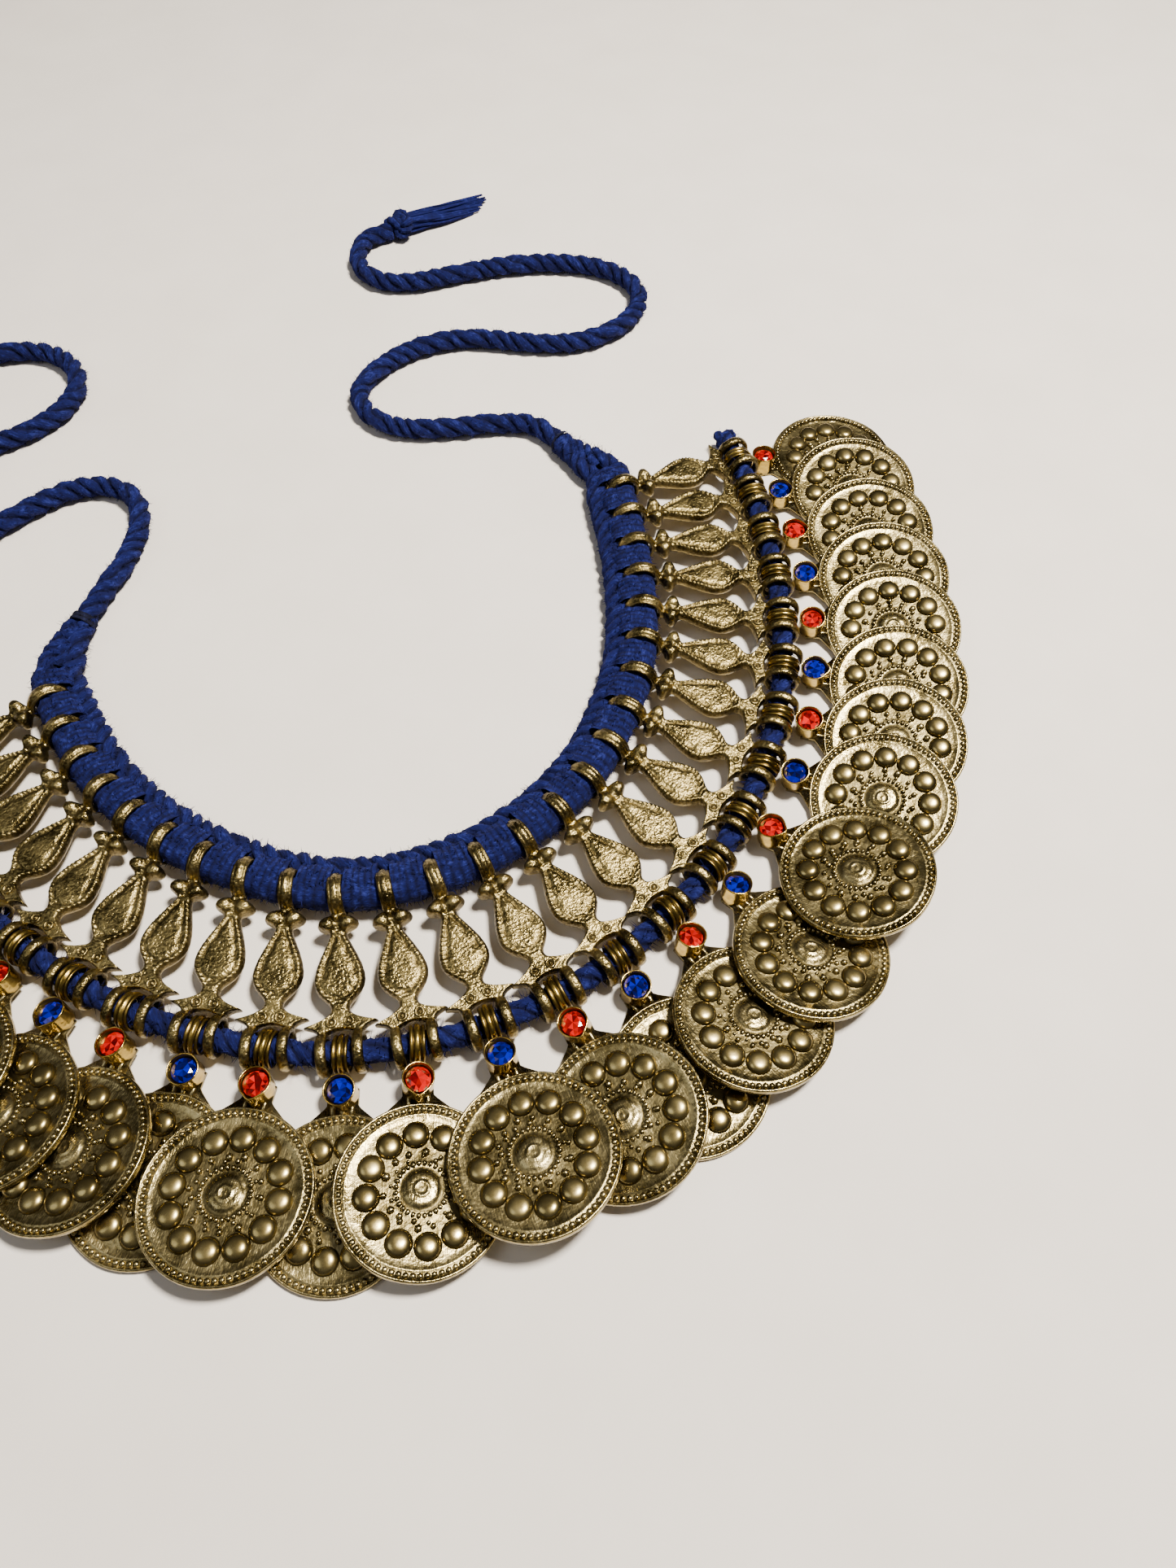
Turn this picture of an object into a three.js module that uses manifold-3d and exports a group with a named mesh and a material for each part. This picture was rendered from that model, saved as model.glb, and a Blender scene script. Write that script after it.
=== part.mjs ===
// Bib necklace lying open on a table: cast brass bars hooked on a blue cotton collar, and a coin
// drop in the clevis of each bar, threaded on a hem cord. Millimetres, +Z up, the table at Z = 0.
import * as THREE from "three";
import { mergeVertices } from "three/addons/utils/BufferGeometryUtils.js";
import Module from "manifold-3d";

const wasm = await Module();
wasm.setup();

// Driving sizes
const CLEAR = 0.3; // air between pieces that touch
const BARS = 25;
const RING_SIDES = 10;
const CORD_SIDES = 8;

const collar = { cord: 3.6, braid: 3.0, lead: 5 };
const hem = { cord: 2.8, knot: 4.6 };
const tie = { rope: 4.4, step: 7.5 };
const tassel = { knot: 6.2, brush: 5.0, tip: 2.2, length: 25 };

const hook = { bore: 5.0, wall: 0.85, width: 2.1 };
const clevis = { bore: 4.5, wall: 0.7, width: 1.25, gap: 3.6, bite: 0.45 };
const bar = { thickness: 1.8, neck: 2.2 };
const knobs = { reach: 4.6, span: 5.7, length: 2.2 };
const pear = { width: 6.9, length: 11.4 };
const panel = { width: 4.1, length: 8.8, relief: 0.35 };
const cross = { width: 8.6, foot: 6.1, length: 3.35, notch: 0.7 };

const bail = { bore: 4.3, wall: 0.55, width: 1.7 };
const bezel = { diameter: 4.25, height: 2.7, table: 2.2, crown: 0.5 };
const tab = { width: 1.7, show: 0.3 };
const coin = { diameter: 22, plate: 0.8, rim: 0.25 };
const domes = { count: 12, diameter: 3.3, circle: 13.7, height: 0.6 };
const boss = { diameter: 4.1, height: 0.4 };

// Sizes that follow from the driving ones
const hookRadius = hook.bore / 2 + hook.wall;
const clevisRadius = clevis.bore / 2 + clevis.wall;
const bailRadius = bail.bore / 2 + bail.wall;
const clevisSpan = clevis.gap + 2 * clevis.width;
const pearTop = knobs.reach + knobs.length / 2;
const crossTop = pearTop + pear.length;
const crossFoot = crossTop + cross.length;
const barReach = crossFoot + clevisRadius - clevis.bite;
const bezelReach = bailRadius + bezel.diameter / 2 + CLEAR / 3;
const coinReach = bezelReach + bezel.diameter / 2 + tab.show + coin.diameter / 2;
const slack = clevisRadius - bailRadius; // how far a bail slides up or down on the hem cord
const coinStack = coin.plate + domes.height;

// The line of the hooks, a few points chosen by hand, with the fan angle of the bars there.
// A bar at 0 degrees points at -Y, and a positive angle turns it towards +X.
const COLLAR = [
  { x: 52.6, y: 56.3 },
  { bar: 0, x: 51.2, y: 51.5, fan: 84 },
  { bar: 3, x: 44.5, y: 31.3, fan: 64.8 },
  { bar: 6, x: 34.6, y: 13.6, fan: 44.5 },
  { bar: 9, x: 17.8, y: -0.7, fan: 24 },
  { bar: 12, x: -1.9, y: -5.9, fan: 3.5 },
  { bar: 15, x: -21.6, y: -1.9, fan: -18.5 },
  { bar: 18, x: -38.2, y: 12.5, fan: -40.5 },
  { bar: 21, x: -48.3, y: 31.1, fan: -61 },
  { bar: 24, x: -51.6, y: 51.1, fan: -80 },
  { x: -51.2, y: 56.1 },
];

// How each drop lies: under its neighbours, over the previous or the next one, on two that lie
// flat, or on top of two leaning ones, and how far it swings from its bar, in degrees.
const LIES = [
  { lie: "under", swing: -10 },
  { lie: "overPrevious", swing: -8 },
  { lie: "overPrevious", swing: -5 },
  { lie: "overPrevious", swing: -2 },
  { lie: "overPrevious", swing: 1 },
  { lie: "overPrevious", swing: 1 },
  { lie: "overPrevious", swing: 4 },
  { lie: "overPrevious", swing: 7 },
  { lie: "onTop", swing: 1 },
  { lie: "overNext", swing: -3 },
  { lie: "overNext", swing: -6 },
  { lie: "under", swing: -6 },
  { lie: "overPrevious", swing: -3 },
  { lie: "onTop", swing: -2 },
  { lie: "overNext", swing: -8 },
  { lie: "under", swing: -5 },
  { lie: "onFlat", swing: -8.5 },
  { lie: "under", swing: -5 },
  { lie: "overPrevious", swing: -2 },
  { lie: "overPrevious", swing: 0 },
  { lie: "overPrevious", swing: 1 },
  { lie: "overPrevious", swing: 2 },
  { lie: "overPrevious", swing: 3 },
  { lie: "overPrevious", swing: 5 },
  { lie: "overPrevious", swing: 7 },
];

// The two tie ropes, from the end of the collar to the knot of the tassel, as X and Y on the table.
const TIE_RIGHT = [
  [50.4, 59.2], [48.9, 63.4], [47.2, 68.9], [44.8, 75.3], [38.6, 79.2], [31.3, 81.7], [24.2, 84.8],
  [19.5, 88.9], [17.5, 94.1], [18.2, 98.9], [21.8, 102.6], [27.4, 105.3], [34.1, 106.4], [41.9, 105.3],
  [48.2, 101.9], [54.1, 97.8], [61.5, 94.1], [68.5, 93.4], [75.0, 95.1], [79.7, 98.9], [81.5, 104.5],
  [79.8, 110.3], [75.2, 115.7], [68.2, 120.0], [59.8, 123.1], [49.6, 125.1], [40.9, 126.6],
  [35.0, 130.0], [32.5, 135.3], [33.5, 140.9], [37.2, 145.0], [42.8, 145.7],
];
const TIE_LEFT = [
  [-48.9, 57.7], [-46.7, 61.7], [-42.9, 66.3], [-38.1, 71.6], [-32.5, 77.7], [-28.8, 84.3],
  [-28.2, 90.7], [-31.0, 95.3], [-36.2, 97.7], [-42.1, 97.6], [-48.0, 96.1], [-54.4, 94.3],
  [-61.4, 94.1], [-67.8, 96.4], [-71.6, 101.0], [-72.0, 106.7], [-68.8, 111.9], [-62.8, 114.9],
  [-55.4, 116.1], [-47.8, 116.5], [-41.4, 117.3], [-35.5, 119.7], [-31.1, 124.3], [-29.8, 130.3],
  [-31.8, 136.3], [-36.6, 140.7], [-42.8, 142.7], [-50.0, 143.1], [-57.6, 142.1], [-65.4, 140.1],
  [-73.4, 138.3], [-81.4, 137.5], [-87.4, 137.7],
];

// Materials
function metal(colour, roughness) {
  return new THREE.MeshStandardMaterial({ color: colour, roughness, metalness: 0.9 });
}

function cotton() {
  return new THREE.MeshStandardMaterial({ color: "#17266b", roughness: 0.9, metalness: 0 });
}

// Solids: a geometry as a closed body, and several joined into one
function body(geometry) {
  const plain = geometry.clone();
  plain.deleteAttribute("normal");
  plain.deleteAttribute("uv");
  const merged = mergeVertices(plain, 1e-4);
  const vertProperties = new Float32Array(merged.attributes.position.array);
  const triVerts = new Uint32Array(merged.index.array);
  return new wasm.Manifold(new wasm.Mesh({ numProp: 3, vertProperties, triVerts }));
}

function joined(...geometries) {
  const mesh = geometries.map(body).reduce((whole, next) => whole.add(next)).getMesh();
  const geometry = new THREE.BufferGeometry();
  geometry.setAttribute("position", new THREE.BufferAttribute(mesh.vertProperties, 3));
  geometry.setIndex(new THREE.BufferAttribute(mesh.triVerts, 1));
  geometry.computeVertexNormals();
  return geometry;
}

// A flat shape from half of its outline: pairs of half width and distance along -Y.
function mirroredShape(half) {
  const right = half.map(([width, along]) => new THREE.Vector2(width, -along));
  const left = half.filter(([width]) => width > 0).map(([width, along]) => new THREE.Vector2(-width, -along));
  return new THREE.Shape([...right, ...left.reverse()]);
}

function slab(half, thickness, bottom) {
  const geometry = new THREE.ExtrudeGeometry(mirroredShape(half), { depth: thickness, bevelEnabled: false });
  return geometry.translate(0, 0, bottom);
}

function turned(profile, sides) {
  return new THREE.LatheGeometry(profile.map(([radius, height]) => new THREE.Vector2(radius, height)), sides);
}

// A half-round strap bent into a ring about the X axis, flat inside and crowned outside.
function strapRing({ bore, wall, width }) {
  const inner = bore / 2;
  const profile = [[inner, -width / 2], [inner + wall, 0], [inner, width / 2], [inner, -width / 2]];
  return turned(profile, RING_SIDES).rotateZ(Math.PI / 2);
}

// A bar about its own middle plane, the hook ring's centre at the origin.
function barGeometry() {
  const neck = bar.neck / 2;
  const pearHalf = pear.width / 2;
  const outline = [
    [neck, hook.bore / 2 + CLEAR],
    [knobs.span / 2, knobs.reach],
    [neck * 0.95, pearTop],
    [pearHalf * 0.75, pearTop + pear.length * 0.32],
    [pearHalf, pearTop + pear.length * 0.59],
    [pearHalf * 0.84, pearTop + pear.length * 0.8],
    [neck * 1.1, crossTop],
    [cross.width / 2, crossTop + cross.length * 0.55],
    [cross.foot / 2, crossFoot],
    [0, crossFoot - cross.notch],
  ];
  const panelTop = pearTop + pear.length * 0.1;
  const teardrop = [
    [0, panelTop],
    [panel.width * 0.47, panelTop + panel.length * 0.56],
    [panel.width * 0.47, panelTop + panel.length * 0.78],
    [0, panelTop + panel.length],
  ];
  const side = (clevis.gap + clevis.width) / 2;
  return joined(
    slab(outline, bar.thickness, -bar.thickness / 2),
    slab(teardrop, panel.relief + bar.thickness / 2, 0),
    strapRing(hook),
    strapRing(clevis).translate(side, -barReach, 0),
    strapRing(clevis).translate(-side, -barReach, 0),
  );
}

// A coin, its flat back at Z = 0: a raised edge, a circle of domes and a boss in the middle.
// Twice as many stations as domes run round it, a dome at each even one and a valley between.
// The three stations nearest the bail are drawn out into the tab.
function coinGeometry() {
  const stations = domes.count * 2;
  const bossSides = domes.count / 2;
  const crest = domes.circle / 2;
  const tabReach = coinReach - bailRadius * 0.6;
  const all = [...Array(stations).keys()];
  const even = all.filter((k) => k % 2 === 0);
  const points = [];
  const faces = [];

  const onCircle = (radius, k) => {
    const angle = (2 * Math.PI * k) / stations;
    return [radius * Math.sin(angle), -radius * Math.cos(angle)];
  };
  const outline = (k) => {
    const fromTab = domes.count - k;
    return Math.abs(fromTab) > 1 ? onCircle(coin.diameter / 2, k) : [(fromTab * tab.width) / 2, tabReach];
  };
  const ring = (list, height, placeOf) => {
    const first = points.length / 3;
    list.forEach((k) => points.push(...placeOf(k), height));
    return (i) => first + (((i % list.length) + list.length) % list.length);
  };

  const backStations = all.filter((k) => k !== domes.count && (k % 2 === 0 || Math.abs(k - domes.count) === 1));
  const back = ring(backStations, 0, outline);
  const edge = ring(all, coin.plate + coin.rim, outline);
  const foot = ring(all, coin.plate, (k) => onCircle(k % 2 ? crest : crest + domes.diameter / 2, k));
  const peak = ring(even, coin.plate + domes.height, (k) => onCircle(crest, k));
  const inner = ring(even, coin.plate, (k) => onCircle(crest - domes.diameter / 2, k));
  const bossFoot = ring(even.slice(0, bossSides), coin.plate, (k) => onCircle(boss.diameter / 2, 2 * k));
  const middle = points.length / 3;
  points.push(0, 0, coin.plate + boss.height);

  backStations.forEach((from, j) => {
    const to = backStations[j + 1] ?? stations;
    faces.push(back(j), back(j + 1), edge(to));
    for (let k = from; k < to; k++) faces.push(back(j), edge(k + 1), edge(k));
    if (j > 0 && j < backStations.length - 1) faces.push(back(0), back(j + 1), back(j));
  });
  all.forEach((k) => faces.push(edge(k), edge(k + 1), foot(k), foot(k), edge(k + 1), foot(k + 1)));
  even.forEach((k, i) => {
    faces.push(peak(i), foot(k), foot(k + 1), peak(i), foot(k + 1), inner(i));
    faces.push(peak(i), inner(i), foot(k - 1), peak(i), foot(k - 1), foot(k));
    const near = Math.floor((i + 1) / 2);
    faces.push(inner(i), foot(k + 1), bossFoot(near), foot(k + 1), inner(i + 1), bossFoot(near));
    if (i % 2 === 1) faces.push(inner(i), bossFoot(near), bossFoot(near - 1));
  });
  for (let i = 0; i < bossSides; i++) faces.push(bossFoot(i), bossFoot(i + 1), middle);

  const geometry = new THREE.BufferGeometry();
  geometry.setAttribute("position", new THREE.Float32BufferAttribute(points, 3));
  geometry.setIndex(faces);
  return geometry;
}

// A drop, its bail round the origin: the bail, the bezel cup with its cut stone, and the coin.
function dropGeometry() {
  const radius = bezel.diameter / 2;
  const rim = coin.plate + bezel.height;
  const cup = [
    [0, coin.plate / 2],
    [radius, coin.plate / 2],
    [radius, rim],
    [bezel.table / 2, rim + bezel.crown],
    [0, rim + bezel.crown],
  ];
  return joined(
    strapRing(bail),
    turned(cup, 8).rotateX(Math.PI / 2).translate(0, -bezelReach, -bailRadius),
    coinGeometry().translate(0, -coinReach, -bailRadius),
  );
}

// The layout: where each hook sits on the collar line and where its bar's clevis comes
const radians = THREE.MathUtils.degToRad;
const collarLine = new THREE.CatmullRomCurve3(COLLAR.map(({ x, y }) => new THREE.Vector3(x, y, 0)));

function fanOf(index) {
  const rows = COLLAR.filter(({ bar: at }) => at !== undefined);
  const next = rows.find(({ bar: at }) => at >= index);
  const last = rows.findLast(({ bar: at }) => at <= index);
  if (next === last) return radians(next.fan);
  const share = (index - last.bar) / (next.bar - last.bar);
  return radians(THREE.MathUtils.lerp(last.fan, next.fan, share));
}

function stationOf(index) {
  const length = collarLine.getLength();
  const along = collar.lead + ((length - 2 * collar.lead) * index) / (BARS - 1);
  const hookPoint = collarLine.getPointAt(along / length);
  const tangent = collarLine.getTangentAt(along / length);
  const fan = fanOf(index);
  const outward = new THREE.Vector3(Math.sin(fan), -Math.cos(fan), 0);
  const clevisPoint = hookPoint.clone().addScaledVector(outward, barReach);
  return { index, fan, hookPoint, clevisPoint, outward, inward: new THREE.Vector3(tangent.y, -tangent.x, 0) };
}

const stations = Array.from({ length: BARS }, (_, index) => stationOf(index));

// The lean of the shingled coins: steep enough that each clears the one below it.
function coinCentre({ index, fan, clevisPoint }) {
  const heading = fan + radians(LIES[index].swing);
  return clevisPoint.clone().add(new THREE.Vector3(Math.sin(heading), -Math.cos(heading), 0).multiplyScalar(coinReach));
}

const centres = stations.map(coinCentre);
const leastSpacing = Math.min(...centres.slice(1).map((point, i) => point.distanceTo(centres[i])));
const lean = Math.asin((coinStack + CLEAR + 0.1) / leastSpacing);

// The slope along the bar at which a leaning coin just touches the table with its lowest point.
function leaningSlope() {
  const rise = 2 * slack;
  const radius = coin.diameter / 2;
  const drop = radius * Math.sin(lean);
  const span = coinReach ** 2 - radius ** 2;
  return (-rise * coinReach + Math.sqrt((rise * coinReach) ** 2 - span * (rise ** 2 - drop ** 2))) / span;
}

const innerDomes = coinReach - domes.circle / 2;
const step = (coinStack + CLEAR) / innerDomes;
const POSES = {
  under: { shift: -slack, roll: 0, slope: 0 },
  overPrevious: { shift: slack, roll: -lean, slope: leaningSlope() },
  overNext: { shift: slack, roll: lean, slope: leaningSlope() },
  onFlat: { shift: slack, roll: 0, slope: step - (2 * slack) / innerDomes },
  onTop: { shift: slack, roll: 0, slope: leaningSlope() + step - (Math.sin(lean) * coin.diameter) / 8 / innerDomes },
};

// A path that a tube's steps meet exactly at its own points.
class StationPath extends THREE.Curve {
  constructor(points) {
    super();
    this.points = points;
  }

  getPoint(share, target = new THREE.Vector3()) {
    const place = share * (this.points.length - 1);
    const before = Math.min(Math.floor(place), this.points.length - 2);
    return target.lerpVectors(this.points[before], this.points[before + 1], place - before);
  }

  getPointAt(share, target) {
    return this.getPoint(share, target);
  }

  getTangentAt(share, target = new THREE.Vector3()) {
    const half = 0.5 / (this.points.length - 1);
    const ahead = this.getPoint(Math.min(share + half, 1));
    return target.subVectors(ahead, this.getPoint(Math.max(share - half, 0))).normalize();
  }
}

function tube(path, diameter, steps) {
  const section = new THREE.Shape(new THREE.Path().absarc(0, 0, diameter / 2, 0, 2 * Math.PI).getPoints(CORD_SIDES / 2).slice(0, -1));
  return new THREE.ExtrudeGeometry(section, { steps, bevelEnabled: false, extrudePath: path });
}

function cordThrough(points, diameter) {
  return tube(new StationPath(points), diameter, points.length - 1);
}

// The pieces
function collarCordGeometry() {
  const ends = [COLLAR[0], COLLAR.at(-1)].map(({ x, y }) => new THREE.Vector3(x, y, 0));
  const points = [ends[0], ...stations.map(({ hookPoint }) => hookPoint), ends[1]];
  return cordThrough(points, collar.cord).translate(0, 0, hookRadius);
}

function collarBraidGeometry() {
  const beside = hookRadius + CLEAR + collar.braid / 2;
  const atEnd = (collar.cord + collar.braid) / 2 + CLEAR;
  const endPoint = (row, { inward }) => new THREE.Vector3(row.x, row.y, 0).addScaledVector(inward, atEnd);
  const points = [
    endPoint(COLLAR[0], stations[0]),
    ...stations.map(({ hookPoint, inward }) => hookPoint.clone().addScaledVector(inward, beside)),
    endPoint(COLLAR.at(-1), stations.at(-1)),
  ];
  return cordThrough(points, collar.braid).translate(0, 0, collar.braid / 2 + CLEAR / 3);
}

function hemGeometry() {
  const beyond = clevisSpan / 2 + CLEAR + hem.knot / 2;
  const endPoint = ({ clevisPoint, outward }, side) =>
    clevisPoint.clone().addScaledVector(new THREE.Vector3(-outward.y, outward.x, 0), side * beyond);
  const ends = [endPoint(stations[0], 1), endPoint(stations.at(-1), -1)];
  const points = [ends[0], ...stations.map(({ clevisPoint }) => clevisPoint), ends[1]];
  const knot = ({ x, y, z }) => new THREE.SphereGeometry(hem.knot / 2, 8, 4).translate(x, y, z);
  return joined(cordThrough(points, hem.cord), ...ends.map(knot)).translate(0, 0, clevisRadius);
}

function tieGeometry(route) {
  const path = new THREE.CatmullRomCurve3(route.map(([x, y]) => new THREE.Vector3(x, y, tie.rope / 2)));
  return tube(path, tie.rope, Math.round(path.getLength() / tie.step));
}

// A tassel: the overhand knot and the brush of loose threads, lying on from the end of a tie.
function tasselMesh(name, route) {
  const profile = [
    [0, 0],
    [tassel.knot * 0.34, 0],
    [tassel.knot / 2, tassel.knot * 0.5],
    [tassel.knot * 0.32, tassel.knot],
    [tassel.brush / 2, tassel.length * 0.6],
    [tassel.tip / 2, tassel.length],
    [0, tassel.length],
  ];
  const mesh = new THREE.Mesh(turned(profile, CORD_SIDES), cotton());
  const [last, previous] = [route.at(-1), route.at(-2)];
  const heading = Math.atan2(last[1] - previous[1], last[0] - previous[0]);
  mesh.name = name;
  mesh.rotation.z = heading - Math.PI / 2;
  mesh.position.set(last[0] + CLEAR * Math.cos(heading), last[1] + CLEAR * Math.sin(heading), tassel.knot / 2);
  return mesh;
}

function named(name, geometry, material) {
  const mesh = new THREE.Mesh(geometry, material);
  mesh.name = name;
  return mesh;
}

const necklace = new THREE.Group();
const barShape = barGeometry();
const dropShape = dropGeometry();

for (const { index, fan, hookPoint } of stations) {
  const number = String(index + 1).padStart(2, "0");
  const { lie, swing } = LIES[index];
  const { shift, roll, slope } = POSES[lie];
  const unit = new THREE.Group();
  unit.position.copy(hookPoint);
  unit.rotation.z = fan;
  const barMesh = named("bar_" + number, barShape, metal("#8f7c46", 0.45));
  barMesh.position.z = hookRadius;
  barMesh.rotation.x = Math.asin((hookRadius - clevisRadius) / barReach);
  unit.add(barMesh);
  const drop = named("drop_" + number, dropShape, metal("#7d6d40", 0.4));
  drop.position.set(0, -barReach, clevisRadius + shift);
  drop.rotation.set(-Math.asin(slope), roll, radians(swing), "ZXY");
  unit.add(drop);
  necklace.add(unit);
}
necklace.add(named("collar_cord", collarCordGeometry(), cotton()));
necklace.add(named("collar_braid", collarBraidGeometry(), cotton()));
necklace.add(named("hem_cord", hemGeometry(), cotton()));

// The origin is the middle of the bib on the table; the loose ties and tassels don't count.
necklace.updateMatrixWorld(true);
const bounds = new THREE.Box3().setFromObject(necklace, true);
const centre = bounds.getCenter(new THREE.Vector3());
necklace.position.set(-centre.x, -centre.y, -bounds.min.z);

necklace.add(named("tie_right", tieGeometry(TIE_RIGHT), cotton()));
necklace.add(named("tie_left", tieGeometry(TIE_LEFT), cotton()));
necklace.add(tasselMesh("tassel_right", TIE_RIGHT));
necklace.add(tasselMesh("tassel_left", TIE_LEFT));

const part = new THREE.Group();
part.add(necklace);
export default part;
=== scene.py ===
# %% [markdown]
# # A bib necklace of cast bars, struck coins and blue cotton
# The real necklace lies open on a cloth. Twenty-five cast brass bars hang on a blue cotton collar,
# and each carries a coin on a hem cord, with a cut stone set above it. Two plied ropes tie it.
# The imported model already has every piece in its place, so this script only gives each piece its
# finish and its fine relief, in the same place.

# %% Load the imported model
import math

import bpy
import numpy as np
from mathutils import Matrix, Vector, noise


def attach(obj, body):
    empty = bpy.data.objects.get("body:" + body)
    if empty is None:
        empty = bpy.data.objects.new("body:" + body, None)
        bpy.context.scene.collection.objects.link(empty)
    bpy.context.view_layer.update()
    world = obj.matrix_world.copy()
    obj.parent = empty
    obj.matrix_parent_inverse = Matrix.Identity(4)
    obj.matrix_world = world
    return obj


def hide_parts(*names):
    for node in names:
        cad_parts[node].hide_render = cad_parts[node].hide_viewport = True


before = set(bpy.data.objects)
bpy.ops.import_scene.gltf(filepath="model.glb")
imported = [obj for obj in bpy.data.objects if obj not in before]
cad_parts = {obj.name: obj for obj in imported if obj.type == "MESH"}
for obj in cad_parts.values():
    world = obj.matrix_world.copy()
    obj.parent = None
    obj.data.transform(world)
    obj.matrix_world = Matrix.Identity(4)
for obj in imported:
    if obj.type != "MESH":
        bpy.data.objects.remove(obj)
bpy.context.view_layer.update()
MM = 0.001
PLAN_SIZE = 20

# %% [markdown]
# ## The camera
# A camera could be placed by eye, but then every comparison is a guess. Here it stands where the
# picture was taken from: a hand's width above the table, in front of the bib and looking down.
# The lens follows from the size of the frame in pixels and the focal length in pixels.

# %% Camera
FRAME_PIXELS = (1445, 1927)
FOCAL_PIXELS = 1336
EYE = Vector((-18.94, -76.70, 144.82)) * MM
RIGHT = Vector((0.8980, -0.4399, 0))
AHEAD = Vector((0.4399, 0.8980, 0))
PITCH, ROLL = math.radians(59.21), math.radians(0.47)

gaze = AHEAD * math.cos(PITCH) - Vector((0, 0, math.sin(PITCH)))
level_up = RIGHT.cross(gaze)
camera_right = RIGHT * math.cos(ROLL) - level_up * math.sin(ROLL)
camera_up = RIGHT * math.sin(ROLL) + level_up * math.cos(ROLL)
lens = bpy.data.cameras.new("table_view")
lens.sensor_width = 36
lens.lens = FOCAL_PIXELS / max(FRAME_PIXELS) * lens.sensor_width
lens.clip_start, lens.clip_end = 0.01, 20
camera = bpy.data.objects.new("table_view", lens)
camera.matrix_world = Matrix.Translation(EYE) @ Matrix((camera_right, camera_up, -gaze)).transposed().to_4x4()
bpy.context.scene.collection.objects.link(camera)
bpy.context.scene.camera = camera
print("lens, mm:", round(lens.lens, 2))

# %% [markdown]
# ## Helpers for node trees
# Geometry trees and materials are both made of nodes, and adding one always takes the same steps:
# make it, set its properties, and link or fill its inputs. A small wrapper does that, and it lets
# sums be written as sums, so that each tree below reads like a recipe.


# %% A wrapper for node trees
def maths(operation, swapped=False):
    def write_node(first, *rest):
        values = (first, *rest)
        return first.tree.calc(operation, *(values[::-1] if swapped else values))
    return write_node


class Output:
    """An output of a node. Each sum that is written with it becomes a maths node."""
    __add__, __radd__ = maths("ADD"), maths("ADD", swapped=True)
    __sub__, __rsub__ = maths("SUBTRACT"), maths("SUBTRACT", swapped=True)
    __mul__, __truediv__ = maths("MULTIPLY"), maths("DIVIDE")
    __pow__, __abs__ = maths("POWER"), maths("ABSOLUTE")

    def __init__(self, tree, socket):
        self.tree, self.socket = tree, socket

    def scaled(self, factor):
        return self.tree("ShaderNodeVectorMath", {0: self, "Scale": factor}, operation="SCALE")


class Tree:
    """A node tree. Calling it adds a node and returns one of the node's outputs."""

    def __init__(self, group):
        self.group = group

    def fill(self, made, inputs):
        for key, value in inputs.items():
            if isinstance(value, Output):
                self.group.links.new(value.socket, made.inputs[key])
            else:
                made.inputs[key].default_value = value

    def node(self, kind, inputs=None, **settings):
        made = self.group.nodes.new(kind)
        for key, value in settings.items():
            setattr(made, key, value)
        self.fill(made, inputs or {})
        return made

    def outputs(self, made):
        return {socket.name: Output(self, socket) for socket in made.outputs}

    def __call__(self, kind, inputs=None, out=0, **settings):
        return Output(self, self.node(kind, inputs, **settings).outputs[out])

    def calc(self, operation, *values):
        return self("ShaderNodeMath", dict(enumerate(values)), operation=operation)


def new_tree(name, inputs):
    """A geometry tree, its group input, and a function that closes it with the finished geometry."""
    group = bpy.data.node_groups.new(name, "GeometryNodeTree")
    group.interface.new_socket("Geometry", in_out="INPUT", socket_type="NodeSocketGeometry")
    group.interface.new_socket("Geometry", in_out="OUTPUT", socket_type="NodeSocketGeometry")
    for label, (kind, value) in inputs.items():
        socket = group.interface.new_socket(label, in_out="INPUT", socket_type="NodeSocket" + kind)
        if value is not None:
            socket.default_value = value
    tree = Tree(group)
    given = tree.outputs(tree.node("NodeGroupInput"))

    def close(geometry):
        real = tree("GeometryNodeRealizeInstances", {"Geometry": geometry})
        smooth = tree("GeometryNodeSetShadeSmooth", {0: real})
        inputs = {"Geometry": smooth, "Material": given["Material"]}
        tree.node("NodeGroupOutput", {0: tree("GeometryNodeSetMaterial", inputs)})

    return tree, given, close


def mesh_of(holder):
    """The mesh that an object ends up as, once its curves and modifiers are worked out."""
    bpy.context.scene.collection.objects.link(holder)
    mesh = bpy.data.meshes.new_from_object(holder.evaluated_get(bpy.context.evaluated_depsgraph_get()))
    bpy.data.objects.remove(holder)
    return mesh


def grow(tree, source, material, **values):
    """Runs a tree on a piece of data and returns the plain mesh that it makes."""
    holder = bpy.data.objects.new("holder", source)
    modifier = holder.modifiers.new("grow", "NODES")
    modifier.node_group = tree.group
    values = {key.replace("_", " ").title(): value for key, value in values.items()}
    values["Material"] = material
    for item in tree.group.interface.items_tree:
        if item.in_out == "INPUT" and item.name in values:
            modifier[item.identifier] = values[item.name]
    return mesh_of(holder)


# %% [markdown]
# ## Shapes as points and faces
# The castings are relief: low forms that rise from a plate. They could be sculpted, but a rule for
# the height at each point is exact, and it gives clean rows of faces. So a shape here is a list of
# points in millimetres, its faces, and two numbers for each point that the materials read: a share
# of patina and painted light, and where it lies on the flat plan of its own piece. On metal the
# share is the dark patina that has settled in the hollows, partly painted shade at the foot of each
# dome; on a stone it makes each facet a brighter or deeper painted reflection.


# %% Shapes and how they join
class Shape:
    def __init__(self, points, faces, patina=0.0, finish=0):
        self.points = np.asarray(points, float).reshape(-1, 3)
        self.faces = [tuple(int(i) for i in face) for face in faces]
        self.patina = np.broadcast_to(patina, len(self.points)).astype(float)
        self.finish = finish if isinstance(finish, list) else [finish] * len(self.faces)
        self.plan = self.points[:, :2].copy()

    def moved(self, matrix, keep_plan=False):
        turn, shift = np.array(matrix.to_3x3()), np.array(matrix.translation)
        made = Shape(self.points @ turn.T + shift, self.faces, self.patina, self.finish)
        if keep_plan:
            made.plan = self.plan
        return made


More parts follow.
